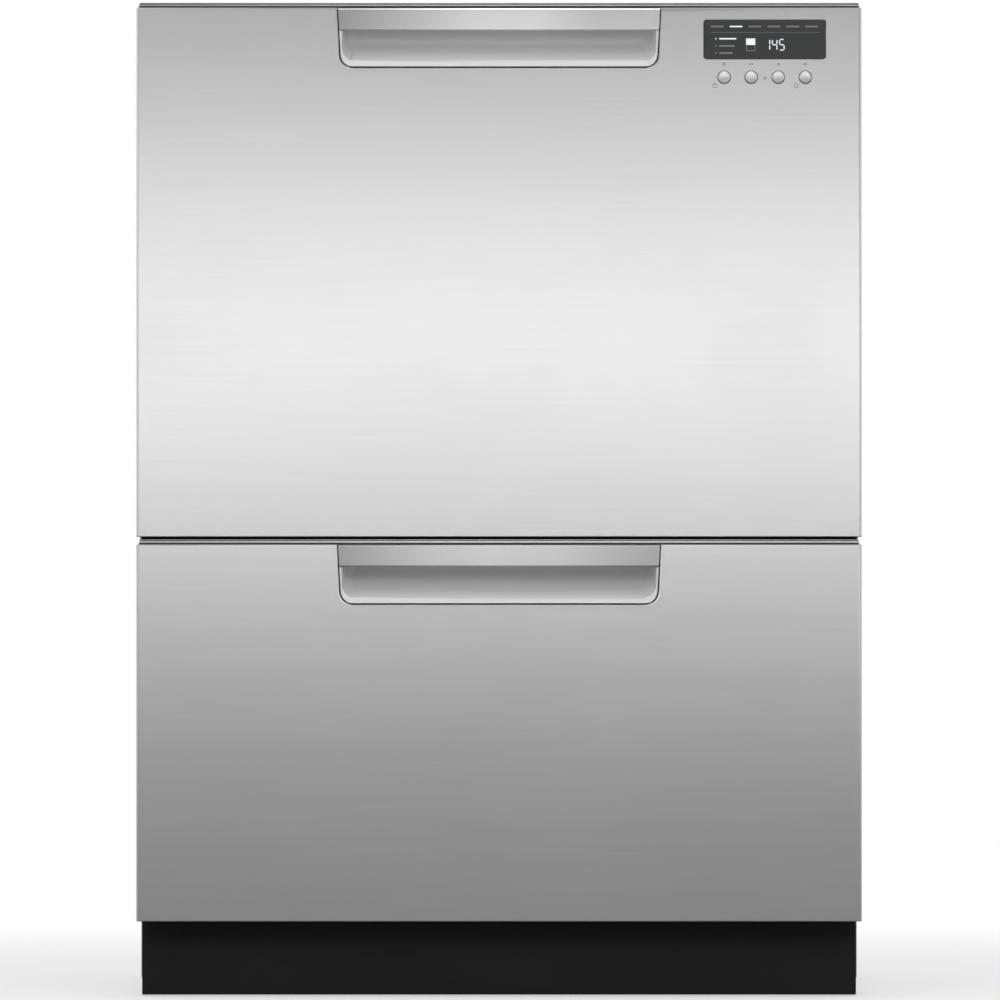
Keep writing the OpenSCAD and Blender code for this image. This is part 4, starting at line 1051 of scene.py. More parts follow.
# %% Cabinet wrap
sheet, field_sink = 1.2 * mm, 2 * mm
side_fields = [(0.120, 0.250), (0.405, 0.650)]
field_y = (-0.200, 0.225)
top_field_x = (-0.210, 0.210)
fixing_z, fixing_y, fixing_r = (0.096, 0.736), (-0.200, 0.200), 2.5 * mm
notch_y, notch_z = -0.2135, 0.066


def cabinet_sheet():
    low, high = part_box("cabinet_wrap")
    wrap = block("cabinet_sheet", low, high)
    round_edges(wrap, both(along(Y), at(Z, high.z)), 2 * mm, 8)
    remove_faces(wrap, either(either(facing(Y, 1), facing(Y, -1)), facing(Z, -1)))
    split(wrap, Z, *(z for field in side_fields for z in field))
    split(wrap, Y, *field_y)
    split(wrap, X, *top_field_x)
    for field in side_fields:
        for side in (-1, 1):
            press(wrap, facing(X, side), (Y, Z), (field_y, field), field_sink)
    press(wrap, facing(Z, 1), (X, Y), (top_field_x, field_y), field_sink)
    thicken(wrap, sheet)
    notch = block("cutter", (2 * low.x, 2 * low.y, low.z - mm), (2 * high.x, notch_y, notch_z))
    holes = [bar("cutter", (2 * low.x, y, z), (2 * high.x, y, z), fixing_r, 24)
             for y in fixing_y for z in fixing_z]
    carve(wrap, notch, *holes)
    smooth(wrap, 12)
    fit(wrap, "root", "cabinet_steel", "cabinet_wrap")


cabinet_sheet()

# %% [markdown]
# ## Rear panel
#
# The rear panel is a shallow tray with its rim to the back. A row of louvres near the top lets the
# warm air out: each is a slot under a small hood. The holes at its foot take the connections.

# %% Rear panel
low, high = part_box("rear_panel")
rear_y, rear_back = low.y, low.y + sheet
inlet_x, port_z = centre_of("inlet_valve").x, centre_of("inlet_valve").z
tail_middle, tail_apart = centre_of("drain_tails").x, 22.5 * mm
tail_xs = (tail_middle - tail_apart, tail_middle + tail_apart)
gland_x = centre_of("cord_gland").x
port_r, tail_r, gland_r, port_gap = 13.2 * mm, 10.5 * mm, 8 * mm, 0.5 * mm
vent_z, vent_pitch, vent_w, vent_h = 0.760, 26 * mm, 18 * mm, 6 * mm
vent_xs = [(i - 5) * vent_pitch for i in range(11)]
rear_field, rear_field_sink = ((-0.200, 0.200), (0.120, 0.700)), 2.5 * mm


def hood():
    """The raised lip over a vent, open below."""
    lip = block("louvre", (-vent_w / 2 - 2 * mm, rear_back - 0.2 * mm, vent_z - vent_h / 2 - mm),
                (vent_w / 2 + 2 * mm, rear_back + 5 * mm, vent_z + vent_h / 2 + 3 * mm))
    resize_faces(lip, facing(Z, 1), (0.85, 0.1, 1), (0, rear_back, vent_z))
    remove_faces(lip, either(facing(Z, -1), facing(Y, -1)))
    thicken(lip, 0.9 * mm)
    soften(lip, 0.3 * mm)
    return lip


def rear_sheet():
    tray = block("rear_sheet", low, high)
    round_edges(tray, along(Y), 1.5 * mm, 8)
    remove_faces(tray, facing(Y, 1))
    split(tray, X, *rear_field[0])
    split(tray, Z, *rear_field[1])
    press(tray, facing(Y, -1), (X, Z), rear_field, rear_field_sink)
    thicken(tray, sheet)
    near, far = low.y - 5 * mm, low.y + 5 * mm
    ports = ((inlet_x, port_r), (tail_xs[0], tail_r), (tail_xs[1], tail_r), (gland_x, gland_r))
    holes = [bar("cutter", (x, near, port_z), (x, far, port_z), radius + port_gap) for x, radius in ports]
    vents = [block("cutter", (x - vent_w / 2, near, vent_z - vent_h / 2),
                   (x + vent_w / 2, far, vent_z + vent_h / 2)) for x in vent_xs]
    carve(tray, *holes, *vents)
    smooth(tray, 12)
    first = hood()
    hoods = [copy_of(first, "louvre", (x, 0, 0)) for x in vent_xs]
    bpy.data.objects.remove(first)
    fit(join("rear_sheet", [tray, *hoods]), "root", "cabinet_steel", "rear_panel")


rear_sheet()
edge, heights = 8 * mm, (0.030, 0.160, 0.420, 0.680, 0.800)
places = [(side * (high.x - edge), rear_back, z) for side in (-1, 1) for z in heights]
screws("rear_screws", "root", places)

# %% [markdown]
# ## Toe kick
#
# The toe kick closes the gap above the floor. It is black sheet with folded ends, hems along its
# top and its foot, and a tab at each end, through which it is screwed to the base pan.

# %% Toe kick
kick_wall, kick_tab, hem_h = 1.5 * mm, 16 * mm, 6 * mm


def kick_sheet():
    low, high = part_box("toe_kick")
    kick = block("kick_sheet", low, high)
    round_edges(kick, both(along(Z), at(Y, low.y)), 2 * mm, 4)
    remove_faces(kick, either(facing(Y, 1), either(facing(Z, 1), facing(Z, -1))))
    thicken(kick, kick_wall)
    inner = high.x - kick_wall
    hems = [block("hem", (-inner, low.y + kick_wall / 2, z - hem_h), (inner, low.y + 2 * kick_wall, z))
            for z in (high.z, low.z + hem_h)]
    tabs = [block("tab", (min(x, x - side * kick_tab), high.y - kick_wall, low.z),
                  (max(x, x - side * kick_tab), high.y, high.z))
            for side, x in ((1, high.x - kick_wall / 2), (-1, low.x + kick_wall / 2))]
    weld(kick, *hems, *tabs)
    soften(kick, 0.3 * mm)
    fit(kick, "root", "kick_black", "toe_kick")
    middle = high.x - kick_tab / 2
    places = [(side * middle, high.y - kick_wall, z) for side in (-1, 1) for z in (0.020, 0.050)]
    screws("kick_screws", "root", places, -1)


kick_sheet()

# %% [markdown]
# ## Levelling feet
#
# A foot is a wide pad on a threaded stem, with a nut to turn it by. The stem's outline is a zigzag,
# so that the spin makes the ridges of the thread.

# %% Feet
pad_h, nut_h, nut_flats, stem_r = 7 * mm, 5 * mm, 19 * mm, 5 * mm
thread_pitch, thread_depth = 1.75 * mm, 0.5 * mm


def thread(start, end, radius, pitch, depth):
    """Ridges and valleys along a stem, as points of its outline."""
    count = int((end - start) / pitch)
    points = []
    for i in range(count):
        foot = start + i * pitch
        points += [(radius, foot + 0.1 * pitch), (radius, foot + 0.3 * pitch),
                   (radius - depth, foot + 0.6 * pitch), (radius - depth, foot + 0.8 * pitch)]
    return points


def levelling_foot(node, body):
    low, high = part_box(node)
    radius = (high.x - low.x) / 2
    foot = [(0, 0), (radius - 1.5 * mm, 0), (radius, 1.2 * mm), (radius, pad_h - 2.5 * mm),
            (radius - 1.2 * mm, pad_h - 1.2 * mm), (radius - 5 * mm, pad_h), (stem_r, pad_h)]
    stem = thread(pad_h + nut_h, high.z - 1.5 * mm, stem_r, thread_pitch, thread_depth)
    tip = [(stem_r - mm, high.z - 0.8 * mm), (stem_r - 1.6 * mm, high.z), (0, high.z)]
    x, y, _ = centre_of(node)
    pad = turned("foot_pad", foot + stem + tip, (x, y, 0), steps=32)
    nut = bar("foot_nut", (x, y, pad_h - 0.2 * mm), (x, y, pad_h + nut_h), nut_flats / math.sqrt(3), 6)
    soften(nut, 0.5 * mm)
    fit(join(f"{node}_piece", [pad, nut]), body, "foot_plastic", node)


for end in ("front", "rear"):
    for side in ("left", "right"):
        levelling_foot(f"foot_{end}_{side}", f"{end}_{side}_foot")

# %% [markdown]
# ## Connections
#
# The inlet is a solenoid valve: a body behind the panel, a coil with two blades on top of it, and a
# threaded port outside. The drain tails have barbs that grip a hose. The gland is ribbed rubber, so
# that a cord bends gently in it. All three pass through the rear panel, with a flange inside, and
# are spun from an outline that runs in the order it would be turned.

# %% Through the panel
shoulder_w, shoulder_y = 3 * mm, 3.2 * mm


def wall_outline(bore, radius, flange, shoulder=True):
    """Starts an outline: the flange inside the panel, the neck through it, the shoulder outside."""
    points = [(bore, -flange), (radius + flange, -flange), (radius + flange, 0), (radius, 0)]
    if shoulder:
        points += [(radius, sheet), (radius + shoulder_w, sheet), (radius + shoulder_w, shoulder_y)]
    return points


# %% Water inlet valve
low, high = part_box("inlet_valve")
bore, port_flange, port_end = 8 * mm, 2 * mm, high.y - rear_y
outline = wall_outline(bore, port_r, port_flange) + [(port_r - mm, shoulder_y)]
outline += thread(shoulder_y + mm, port_end - 1.5 * mm, port_r, 1.8 * mm, 0.9 * mm)
outline += [(port_r - mm, port_end - 0.5 * mm), (port_r - 1.5 * mm, port_end), (bore, port_end),
            (bore, -port_flange)]
port = turned("port", outline, (inlet_x, rear_y, port_z), axis=Y)
body = block("valve_body", (inlet_x - 15 * mm, low.y + 8 * mm, low.z + 2 * mm),
             (inlet_x + 15 * mm, rear_y - mm, port_z + 8 * mm))
plate = block("valve_plate", (low.x, rear_y - 3 * mm, low.z), (high.x, rear_y, high.z))
for part, fillet in ((body, 0.6 * mm), (plate, 0.5 * mm)):
    round_edges(part, along(Y), 4 * mm, 4)
    soften(part, fillet)
outlet_z, coil_y = port_z - 6 * mm, low.y + 19 * mm
outlet = bar("valve_outlet", (inlet_x, low.y, outlet_z), (inlet_x, low.y + 10 * mm, outlet_z), 6 * mm)


def coil_part(name, foot, top, radius):
    """An upright cylinder over the valve's body. The heights are in millimetres above the port."""
    return bar(name, (inlet_x, coil_y, port_z + foot * mm), (inlet_x, coil_y, port_z + top * mm), radius)


coils = [coil_part("coil", foot, foot + 1.2, 9 * mm) for foot in (8, 15.8)]
core = coil_part("coil_core", 7, 16, 8 * mm)
blades = [block("blade", (x - 0.4 * mm, low.y + 2 * mm, port_z + 9 * mm),
                (x + 0.4 * mm, low.y + 11 * mm, port_z + 13 * mm))
          for x in (inlet_x - 4 * mm, inlet_x + 4 * mm)]
for part in (outlet, core, *coils):
    soften(part, 0.4 * mm)
valve = join("inlet_valve_piece", [port, body, plate, outlet, core, *coils, *blades])
fit(valve, "root", "valve_plastic", "inlet_valve")

# %% Drain tails
tail_bore, tail_flange, barb_count, barb_h = 8.5 * mm, 4 * mm, 4, 1.3 * mm
tail_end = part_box("drain_tails")[1].y - rear_y
outline = wall_outline(tail_bore, tail_r, tail_flange)
barb = (tail_end - shoulder_y - 4 * mm) / barb_count
for i in range(barb_count):
    foot = shoulder_y + 3 * mm + i * barb
    outline += [(tail_r - barb_h, foot), (tail_r, foot + 0.3 * mm), (tail_r - barb_h, foot + 0.9 * barb)]
outline += [(tail_r - 1.4 * mm, tail_end), (tail_bore, tail_end), (tail_bore, -tail_flange)]
tails = [turned("tail", outline, (x, rear_y, port_z), axis=Y) for x in tail_xs]
fit(join("drain_tail_pieces", tails), "root", "tail_plastic", "drain_tails")

# %% Cord gland
gland_bore, rib_count, rib_h = 4.2 * mm, 5, 1.4 * mm
gland_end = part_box("cord_gland")[1].y - rear_y
outline = wall_outline(gland_bore, gland_r, tail_flange, shoulder=False)
rib = (gland_end - sheet - mm) / rib_count
for i in range(rib_count):
    foot, ridge = sheet + mm + i * rib, gland_r - 0.45 * i * mm
    outline += [(ridge - rib_h, foot), (ridge, foot + 0.25 * rib), (ridge, foot + 0.65 * rib),
                (ridge - rib_h, foot + 0.85 * rib)]
outline += [(gland_bore, gland_end), (gland_bore, -tail_flange)]
gland = turned("cord_gland_piece", outline, (gland_x, rear_y, port_z), axis=Y)
fit(gland, "root", "gland_rubber", "cord_gland")

# %% [markdown]
# ## Tubs
#
# A tub is one moulding: a deep box with well rounded corners, a flange round its rim, two bands
# that stiffen its walls, and a round sump in its floor. Two shelves stand in front of it and meet
# the liner. The walls are made by giving an open box its thickness. Flange and bands are hoops
# that are welded on, and the sump is bored last.

# %% Tub
tub_wall, tub_corner, floor_corner = 3.5 * mm, 45 * mm, 12 * mm
flange_w, flange_t, tub_setback = 6 * mm, 3 * mm, 16 * mm
band_w, band_h, band_lifts = 2 * mm, 4 * mm, (40 * mm, 100 * mm)
sump_r, sump_ledge, sump_h, filter_t = 150 * mm, 10 * mm, 18 * mm, 2 * mm
shelf_x, shelf_len = 150.25 * mm, 90 * mm
post_hole, drain_hole, drain_offset = 12.3 * mm, 12 * mm, 100 * mm


def tub_sizes(drawer):
    """The tub's outer walls, its inner floor and its rim, from its bounding box."""
    low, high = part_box(f"{drawer}_tub")
    outer_low = Vector((low.x + flange_w, low.y + tub_setback, low.z + sump_h))
    outer_high = Vector((high.x - flange_w, high.y - flange_w, high.z))
    return outer_low, outer_high, low.z + sump_h + tub_wall


def round_box(name, low, high, grow, bottom, top):
    piece = block(name, (low.x - grow, low.y - grow, bottom), (high.x + grow, high.y + grow, top))
    round_edges(piece, along(Z), tub_corner + grow, 12)
    return piece


def hoop(low, high, grow, bottom, top):
    ring = round_box("hoop", low, high, grow, bottom, top)
    carve(ring, round_box("cutter", low, high, -tub_wall / 2, bottom - mm, top + mm))
    return ring


def tub(drawer):
    low, high, floor = tub_sizes(drawer)
    middle = ((low.x + high.x) / 2, (low.y + high.y) / 2)
    shell = round_box(f"{drawer}_tub_shell", low, high, 0, low.z, high.z)
    round_edges(shell, at(Z, low.z), floor_corner, 5)
    remove_faces(shell, facing(Z, 1))
    thicken(shell, tub_wall)
    sump_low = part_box(f"{drawer}_tub")[0].z
    sump = bar("sump", (*middle, sump_low), (*middle, floor - mm), sump_r + sump_ledge + tub_wall, 96)
    round_edges(sump, at(Z, sump_low), 4 * mm, 3)
    hoops = [hoop(low, high, flange_w, high.z - flange_t, high.z)]
    hoops += [hoop(low, high, band_w, floor + lift, floor + lift + band_h) for lift in band_lifts]
    weld(shell, sump, *hoops)
    drain = (middle[0], middle[1] + drain_offset)
    carve(shell, bar("cutter", (*middle, floor - filter_t), (*middle, floor + mm), sump_r + sump_ledge, 96))
    carve(shell, bar("cutter", (*middle, floor - sump_h), (*middle, floor), sump_r, 96))
    carve(shell, bar("cutter", (*middle, sump_low - mm), (*middle, floor), post_hole),
          bar("cutter", (*drain, sump_low - mm), (*drain, floor), drain_hole))
    soften(shell, 0.6 * mm, 2, 40)
    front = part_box(f"{drawer}_tub")[0].y
    shelves = []
    for x in (shelf_x, -shelf_x - shelf_len):
        shelf = block("shelf", (x, front, high.z - flange_t), (x + shelf_len, low.y - flange_w, high.z))
        soften(shelf, 0.6 * mm)
        shelves.append(shelf)
    fit(join(shell.name, [shell, *shelves]), f"{drawer}_drawer", "tub_plastic", f"{drawer}_tub")


for drawer in DRAWERS:
    tub(drawer)

# %% [markdown]
# ## Spray arms
#
# The arm is a hollow blade that tapers to round ends, drawn here as a solid blade with a flat top. The
# jets are slots in low bosses, set to both sides of the middle line, so that the water drives it round.
# One half is drawn, tapered and capped, and the other half is its twin, turned by half a circle.

# %% Spray arm
arm_root, arm_tip, blade_h = 20 * mm, 12 * mm, 10.5 * mm
hub_r, hub_bore, jet_count, jet_shift = 26 * mm, 12.1 * mm, 5, 4 * mm
jet_long, jet_wide, jet_deep = 8 * mm, 3 * mm, 4 * mm


def half_blade(reach, height):
    end = reach - arm_tip
    blade = block("blade", (0, -arm_root, 0), (end, arm_root, height))
    resize_faces(blade, facing(X, 1), (1, arm_tip / arm_root, 1), (end, 0, 0))
    weld(blade, bar("tip", (end, 0, 0), (end, 0, height), arm_tip, 48))
    return blade


def spray_arm(drawer):
    low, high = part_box(f"{drawer}_spray_arm")
    middle = centre_of(f"{drawer}_spray_arm")
    reach = high.x - middle.x
    arm = half_blade(reach, blade_h)
    twin = copy_of(arm, "twin")
    only(twin)
    twin.rotation_euler = (0, 0, math.pi)
    weld(arm, settle("twin"))
    hub = bar("hub", (0, 0, 0), (0, 0, high.z - low.z), hub_r, 64)
    round_edges(hub, at(Z, high.z - low.z), 2 * mm, 3)
    weld(arm, hub)
    step = (reach - arm_tip - hub_r) / jet_count
    cutters = []
    for side in (-1, 1):
        for i in range(1, jet_count + 1):
            x, y = side * (hub_r + i * step), side * jet_shift * (1 if i % 2 == 0 else -1)
            boss = bar("boss", (x, y, blade_h - mm), (x, y, high.z - low.z), 0.62 * jet_long, 24)
            weld(arm, boss)
            jet = block("cutter", (-jet_long / 2, -jet_wide / 2, high.z - low.z - jet_deep),
                        (jet_long / 2, jet_wide / 2, high.z))
            only(jet)
            jet.rotation_euler = (math.radians(-18 * side), 0, 0)
            jet.location = (x, y, 0)
            cutters.append(settle("cutter"))
    carve(arm, *cutters)
    carve(arm, bar("cutter", (0, 0, -mm), (0, 0, high.z), hub_bore, 48))
    soften(arm, 0.9 * mm, 3)
    only(arm)
    arm.location = (middle.x, middle.y, low.z)
    fit(settle(f"{drawer}_spray_blades"), f"{drawer}_spray_rotor", "spray_plastic", f"{drawer}_spray_arm")


for drawer in DRAWERS:
    spray_arm(drawer)

# %% [markdown]
# ## Wire
#
# The racks are round wire, bent cold, spot welded and dipped in nylon. A wire is a list of points,
# and a curve with a round section follows them. A fourth number at a point draws the wire in there,
# which domes the tips of the tines.

# %% Bent wire
wire_r = 2 * mm


def bend(points, radius, steps=4):
    """Rounds the inner corners of a path."""
    points = [Vector(point) for point in points]
    path = [points[0]]
    for before, corner, after in zip(points, points[1:], points[2:]):
        start = corner + (before - corner).normalized() * radius
        end = corner + (after - corner).normalized() * radius
        for i in range(steps + 1):
            t = i / steps
            path.append(start.lerp(corner, t).lerp(corner.lerp(end, t), t))
    return path + [points[-1]]


def dome(foot, tip):
    """A straight wire that is drawn in over its last stretch, so that its tip is round."""
    foot, tip = Vector(foot), Vector(tip)
    back = (foot - tip).normalized() * wire_r
    round_end = ((1, 1), (0.4, 0.8), (0.1, 0.45), (0, 0.15))
    return [foot, *((*(tip + back * away), share) for away, share in round_end)]


def wires(name, paths, radius=wire_r, closed=False):
    curve = bpy.data.curves.new(name, "CURVE")
    curve.dimensions = "3D"
    curve.bevel_depth = radius
    curve.bevel_resolution = 2
    curve.use_fill_caps = True
    for path in paths:
        spline = curve.splines.new("POLY")
        spline.points.add(len(path) - 1)
        spline.use_cyclic_u = closed
        for point, place in zip(spline.points, path):
            point.co = (*place[:3], 1)
            point.radius = place[3] if len(place) > 3 else 1
    piece = bpy.data.objects.new(name, curve)
    bpy.context.scene.collection.objects.link(piece)
    only(piece)
    bpy.ops.object.convert(target="MESH")
    settle(name)
    smooth(bpy.context.object, 50)
    return bpy.context.object


def loop_path(low_x, low_y, high_x, high_y, z):
    """A closed path round a rectangle, with round corners."""
    start = ((low_x + high_x) / 2, low_y, z)
    corners = [(high_x, low_y, z), (high_x, high_y, z), (low_x, high_y, z), (low_x, low_y, z)]
    return bend([start, *corners, start], 14 * mm, 5)[:-1]


def spread(low, high, gaps):
    return [low + (high - low) * i / gaps for i in range(gaps + 1)]


# %% [markdown]
# A rod turns in eyes. An eye is a small moulded clip with a rounded top, pressed on the wire.

# %% Eyes
rod_r, eye, rod_play = 1.9 * mm, 9 * mm, 0.12 * mm


def clip(centre, rod_axis, drop):
    """An eye round a rod, whose foot is a drop below the rod's axis."""
    half, length = Vector((eye / 2, eye / 2, eye / 2)), Vector((0, 0, 0))
    half[rod_axis], length[rod_axis] = 4 * mm, 20 * mm
    piece = block("clip", centre - Vector((half.x, half.y, drop)), centre + half)
    round_edges(piece, both(along(rod_axis), at(Z, centre.z + half.z)), 3.5 * mm, 4)
    carve(piece, bar("cutter", centre - length, centre + length, rod_r + rod_play, 20))
    soften(piece, 0.5 * mm)
    return piece


# %% [markdown]
# ## Base racks
#
# Wires that run from front to back and from side to side are bent up at both ends, so that they
# make the floor and the walls at once. Two rails run round the walls. Rows of tines stand on cross
# wires to hold the plates, one row leaves its place to the folding row, and four legs lift the
# rack off the tub's floor.

# %% Base rack
rack_h, rack_lift = 76 * mm, 32 * mm
rack_gaps_x, rack_gaps_y, rack_bend = 11, 10, 9 * mm
tine_h, tine_pitch, tine_count = 78 * mm, 36 * mm, 8
row_count, fold_row, row_pitch, first_row = 6, 3, 58 * mm, 38 * mm
fold_lift, cup_lift, hinge_inset = 12.52 * mm, 80.5 * mm, 6 * mm
cup_start, cup_len, cup_w = 70 * mm, 270 * mm, 84 * mm
row_lift = wire_r + 4.02 * mm


def tine_x(i):
    return (i - (tine_count - 1) / 2) * tine_pitch


def rack_sizes(drawer):
    low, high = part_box(f"{drawer}_base_rack")
    return low, high, low.z + rack_lift


def floor_wire(first, second, foot, rim):
    """A wire from one wall's rim to the other's. Its ends are given as x and y."""
    return bend([(*first, rim), (*first, foot), (*second, foot), (*second, rim)], rack_bend)


def base_rack(drawer):
    low, high, floor = rack_sizes(drawer)
    thin = 0.8 * wire_r
    x0, x1, y0, y1 = low.x + wire_r, high.x - wire_r, low.y + wire_r, high.y - wire_r
    rim, on_floor, row_z = floor + rack_h - wire_r, floor + wire_r, floor + row_lift
    xs, ys = spread(x0, x1, rack_gaps_x)[1:-1], spread(y0, y1, rack_gaps_y)[1:-1]
    lengthways = [floor_wire((x, y0), (x, y1), on_floor, rim) for x in xs]
    across = [floor_wire((x0, y), (x1, y), floor + 1.2 * wire_r, rim) for y in ys]
    rails = [loop_path(x0, y0, x1, y1, z) for z in (floor + rack_h / 2, rim)]
    inset = 3 * mm
    foot_loop = [loop_path(x0 + inset, y0 + inset, x1 - inset, y1 - inset, floor + 2 * wire_r)]
    rows = [low.y + first_row + i * row_pitch for i in range(row_count)]
    cross = [[(x0, y, row_z), (x1, y, row_z)] for y in rows]
    tines = [dome((tine_x(i), y, row_z), (tine_x(i), y, floor + tine_h))
             for n, y in enumerate(rows) if n != fold_row - 1 for i in range(tine_count)]
    leg_places = [(x, y) for x in (xs[0], xs[-1]) for y in (ys[0], ys[-1])]
    legs = [[(x, y, on_floor), (x, y, low.z + 3 * mm)] for x, y in leg_places]
    parts = [wires("wires", lengthways), wires("across", across, thin), wires("rails", rails, wire_r, True),
             wires("foot_loop", foot_loop, thin, True), wires("cross", cross), wires("tines", tines),
             wires("legs", legs)]
    pad = [(0, 0), (2.8 * mm, 0), (4 * mm, 1.2 * mm), (4 * mm, 6 * mm), (2.6 * mm, 8 * mm), (0, 8 * mm)]
    parts += [turned("pad", pad, (x, y, low.z), steps=16) for x, y in leg_places]
    for i in (1, tine_count - 2):
        centre = Vector((tine_x(i), rows[fold_row - 1], floor + fold_lift))
        parts.append(clip(centre, X, fold_lift - 2 * wire_r))
    for side in (-1, 1):
        for y in (low.y + cup_start, low.y + cup_start + cup_len):
            centre = Vector((side * (high.x - hinge_inset), y, floor + cup_lift))
            parts.append(clip(centre, Y, eye / 2 + mm))
    fit(join(f"{drawer}_rack_wires", parts), f"{drawer}_drawer", "rack_coating", f"{drawer}_base_rack")


for drawer in DRAWERS:
    base_rack(drawer)

# %% [markdown]
# ## Folding tines
#
# The folding row is a rod in two eyes, with a tine between each pair of fixed ones. It leans back
# by a few degrees when it is up.

# %% Folding row
fold_lean = math.radians(6)


def folding_row(drawer):
    low, high, floor = rack_sizes(drawer)
    rod_low, rod_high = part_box(f"{drawer}_fold_tines")
    y, z = low.y + first_row + (fold_row - 1) * row_pitch, floor + fold_lift
    lean = Vector((0, math.sin(fold_lean), math.cos(fold_lean))) * (tine_h - fold_lift - mm)
    rod = wires("rod", [[(rod_low.x, y, z), (rod_high.x, y, z)]], rod_r)
    feet = [Vector((tine_x(i) + tine_pitch / 2, y, z)) for i in range(tine_count - 1)]
    tines = wires("tines", [dome(foot, foot + lean) for foot in feet])
    fit(join(f"{drawer}_folding_wires", [rod, tines]), f"{drawer}_folding_row", "rack_coating",
        f"{drawer}_fold_tines")


for drawer in DRAWERS:
    folding_row(drawer)

# %% [markdown]
# ## Cup shelves
#
# A cup shelf folds down over the plates. Three rails and nine bars make a grid, whose outer rail is
# the rod that it hangs on. Cups lean against the bent ends of the bars.

# %% Cup shelves
shelf_bars, shelf_rails, shelf_lip = 8, 3, 5 * mm


def cup_shelf(drawer, side, name):
    low, high, floor = rack_sizes(drawer)
    hinge, z = side * (high.x - hinge_inset), floor + cup_lift
    rod_low, rod_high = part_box(f"{drawer}_cup_rack_{name}")
    end = hinge - side * (cup_w - wire_r)
    y0, y1 = rod_low.y + 4 * wire_r, rod_high.y - 4 * wire_r
    rod = wires("rod", [[(hinge, rod_low.y, z), (hinge, rod_high.y, z)]], rod_r)
    grid = [bend([(hinge, y, z), (end + side * 3 * mm, y, z), (end, y, z + shelf_lip)], 2 * mm, 3)
            for y in spread(y0 + 2 * wire_r, y1 - 2 * wire_r, shelf_bars)]
    places = [end + side * cup_w * i / shelf_rails for i in range(1, shelf_rails)]
    rails = [[(x, y0 + wire_r, z - 0.4 * mm), (x, y1 - wire_r, z - 0.4 * mm)] for x in places]
    lip = [[(end, y0 + wire_r, z + shelf_lip), (end, y1 - wire_r, z + shelf_lip)]]
    thin = 0.8 * wire_r
    parts = [rod, wires("grid", grid, thin), wires("rails", rails, thin), wires("lip", lip)]
    fit(join(f"{drawer}_cup_shelf_{name}", parts), f"{drawer}_{name}_cup_shelf", "cup_rack_plastic",
        f"{drawer}_cup_rack_{name}")


for drawer in DRAWERS:
    for side, name in ((-1, "left"), (1, "right")):
        cup_shelf(drawer, side, name)

# %% [markdown]
# ## Cutlery baskets
#
# A basket is moulded in one piece with three cells. Water passes through rows of slots in its
# walls and through a grid in its floor, and a strap over it is the handle. The cells and the slots
# are cut from a block.

# %% Cutlery basket
basket_h, basket_wall, cells, strap_w, strap_t = 100 * mm, 2 * mm, 3, 14 * mm, 7 * mm
slot_w, slot_h, slot_pitch, slot_lifts = 5 * mm, 32 * mm, 10 * mm, (10 * mm, 50 * mm)
end_slot_w, end_slot_pitch = 6 * mm, 14 * mm
grid_w, grid_len, grid_places = 6 * mm, 9 * mm, (7 * mm, 21 * mm, 36 * mm, 50 * mm)


def opening(x, y, z, width, depth, height):
    """A cutter in the middle of x and y that starts at a height."""
    return block("cutter", (x - width / 2, y - depth / 2, z), (x + width / 2, y + depth / 2, z + height))


def basket_openings(low, high, pitch):
    """The slots in the long walls, the grid in the floor, and the slots in the end walls."""
    made = []
    middle_y, depth = (low.y + high.y) / 2, high.y - low.y + 2 * mm
    for i in range(cells):
        middle = low.x + basket_wall / 2 + (i + 0.5) * pitch
        for j in range(6):
            x = middle + (j - 2.5) * slot_pitch
            made += [opening(x, middle_y, low.z + z, slot_w, depth, slot_h) for z in slot_lifts]
            made += [opening(x, low.y + y + grid_len / 2, low.z - mm, grid_w, grid_len, 2 * basket_wall)
                     for y in grid_places]
    for j in range(4):
        y = middle_y + (j - 1.5) * end_slot_pitch
        made += [opening(x, y, low.z + z, end_slot_w, end_slot_w, slot_h)
                 for z in slot_lifts for x in (low.x + mm, high.x - mm)]
    return made


def cutlery_basket(drawer):
    low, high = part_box(f"{drawer}_cutlery_basket")
    top = low.z + basket_h
    basket = block(f"{drawer}_basket", low, (high.x, high.y, top))
    round_edges(basket, along(Z), 5 * mm, 4)
    pitch = (high.x - low.x - basket_wall) / cells
    hollows = []
    for i in range(cells):
        left = low.x + basket_wall + i * pitch
        hollow = block("cutter", (left, low.y + basket_wall, low.z + basket_wall),
                       (left + pitch - basket_wall, high.y - basket_wall, top + mm))
        round_edges(hollow, along(Z), 3.2 * mm, 3)
        hollows.append(hollow)
    carve(basket, *hollows)
    carve(basket, *basket_openings(low, high, pitch))
    middle = (low.y + high.y) / 2
    strap = block("strap", (low.x, middle - strap_w / 2, top - 32 * mm),
                  (high.x, middle + strap_w / 2, high.z))
    round_edges(strap, both(along(Y), at(Z, high.z)), 14 * mm, 6)
    hole = block("cutter", (low.x + basket_wall, middle - strap_w, top - 40 * mm),
                 (high.x - basket_wall, middle + strap_w, high.z - strap_t))
    round_edges(hole, both(along(Y), at(Z, high.z - strap_t)), 12 * mm, 6)
    carve(strap, hole)
    weld(basket, strap)
    soften(basket, 0.4 * mm)
    fit(basket, f"{drawer}_drawer", "basket_plastic", f"{drawer}_cutlery_basket")


for drawer in DRAWERS:
    cutlery_basket(drawer)

# %% [markdown]
# ## Dispensers
#
# The dispenser is a moulded plate on the front wall of the tub. It has a well for detergent, under
# a door that springs open, and a cap for rinse aid with a grip across it. Two ears hold the door's
# rod.

# %% Dispenser body
plate_t, well_w, well_h, well_d = 14 * mm, 80 * mm, 46 * mm, 12 * mm
ear_t, ear_gap, door_lap = 4 * mm, mm, 3 * mm
cap_r, cap_h, cap_ribs, dish_gap, dish_d = 19 * mm, 5 * mm, 18, 3 * mm, 0.8 * mm


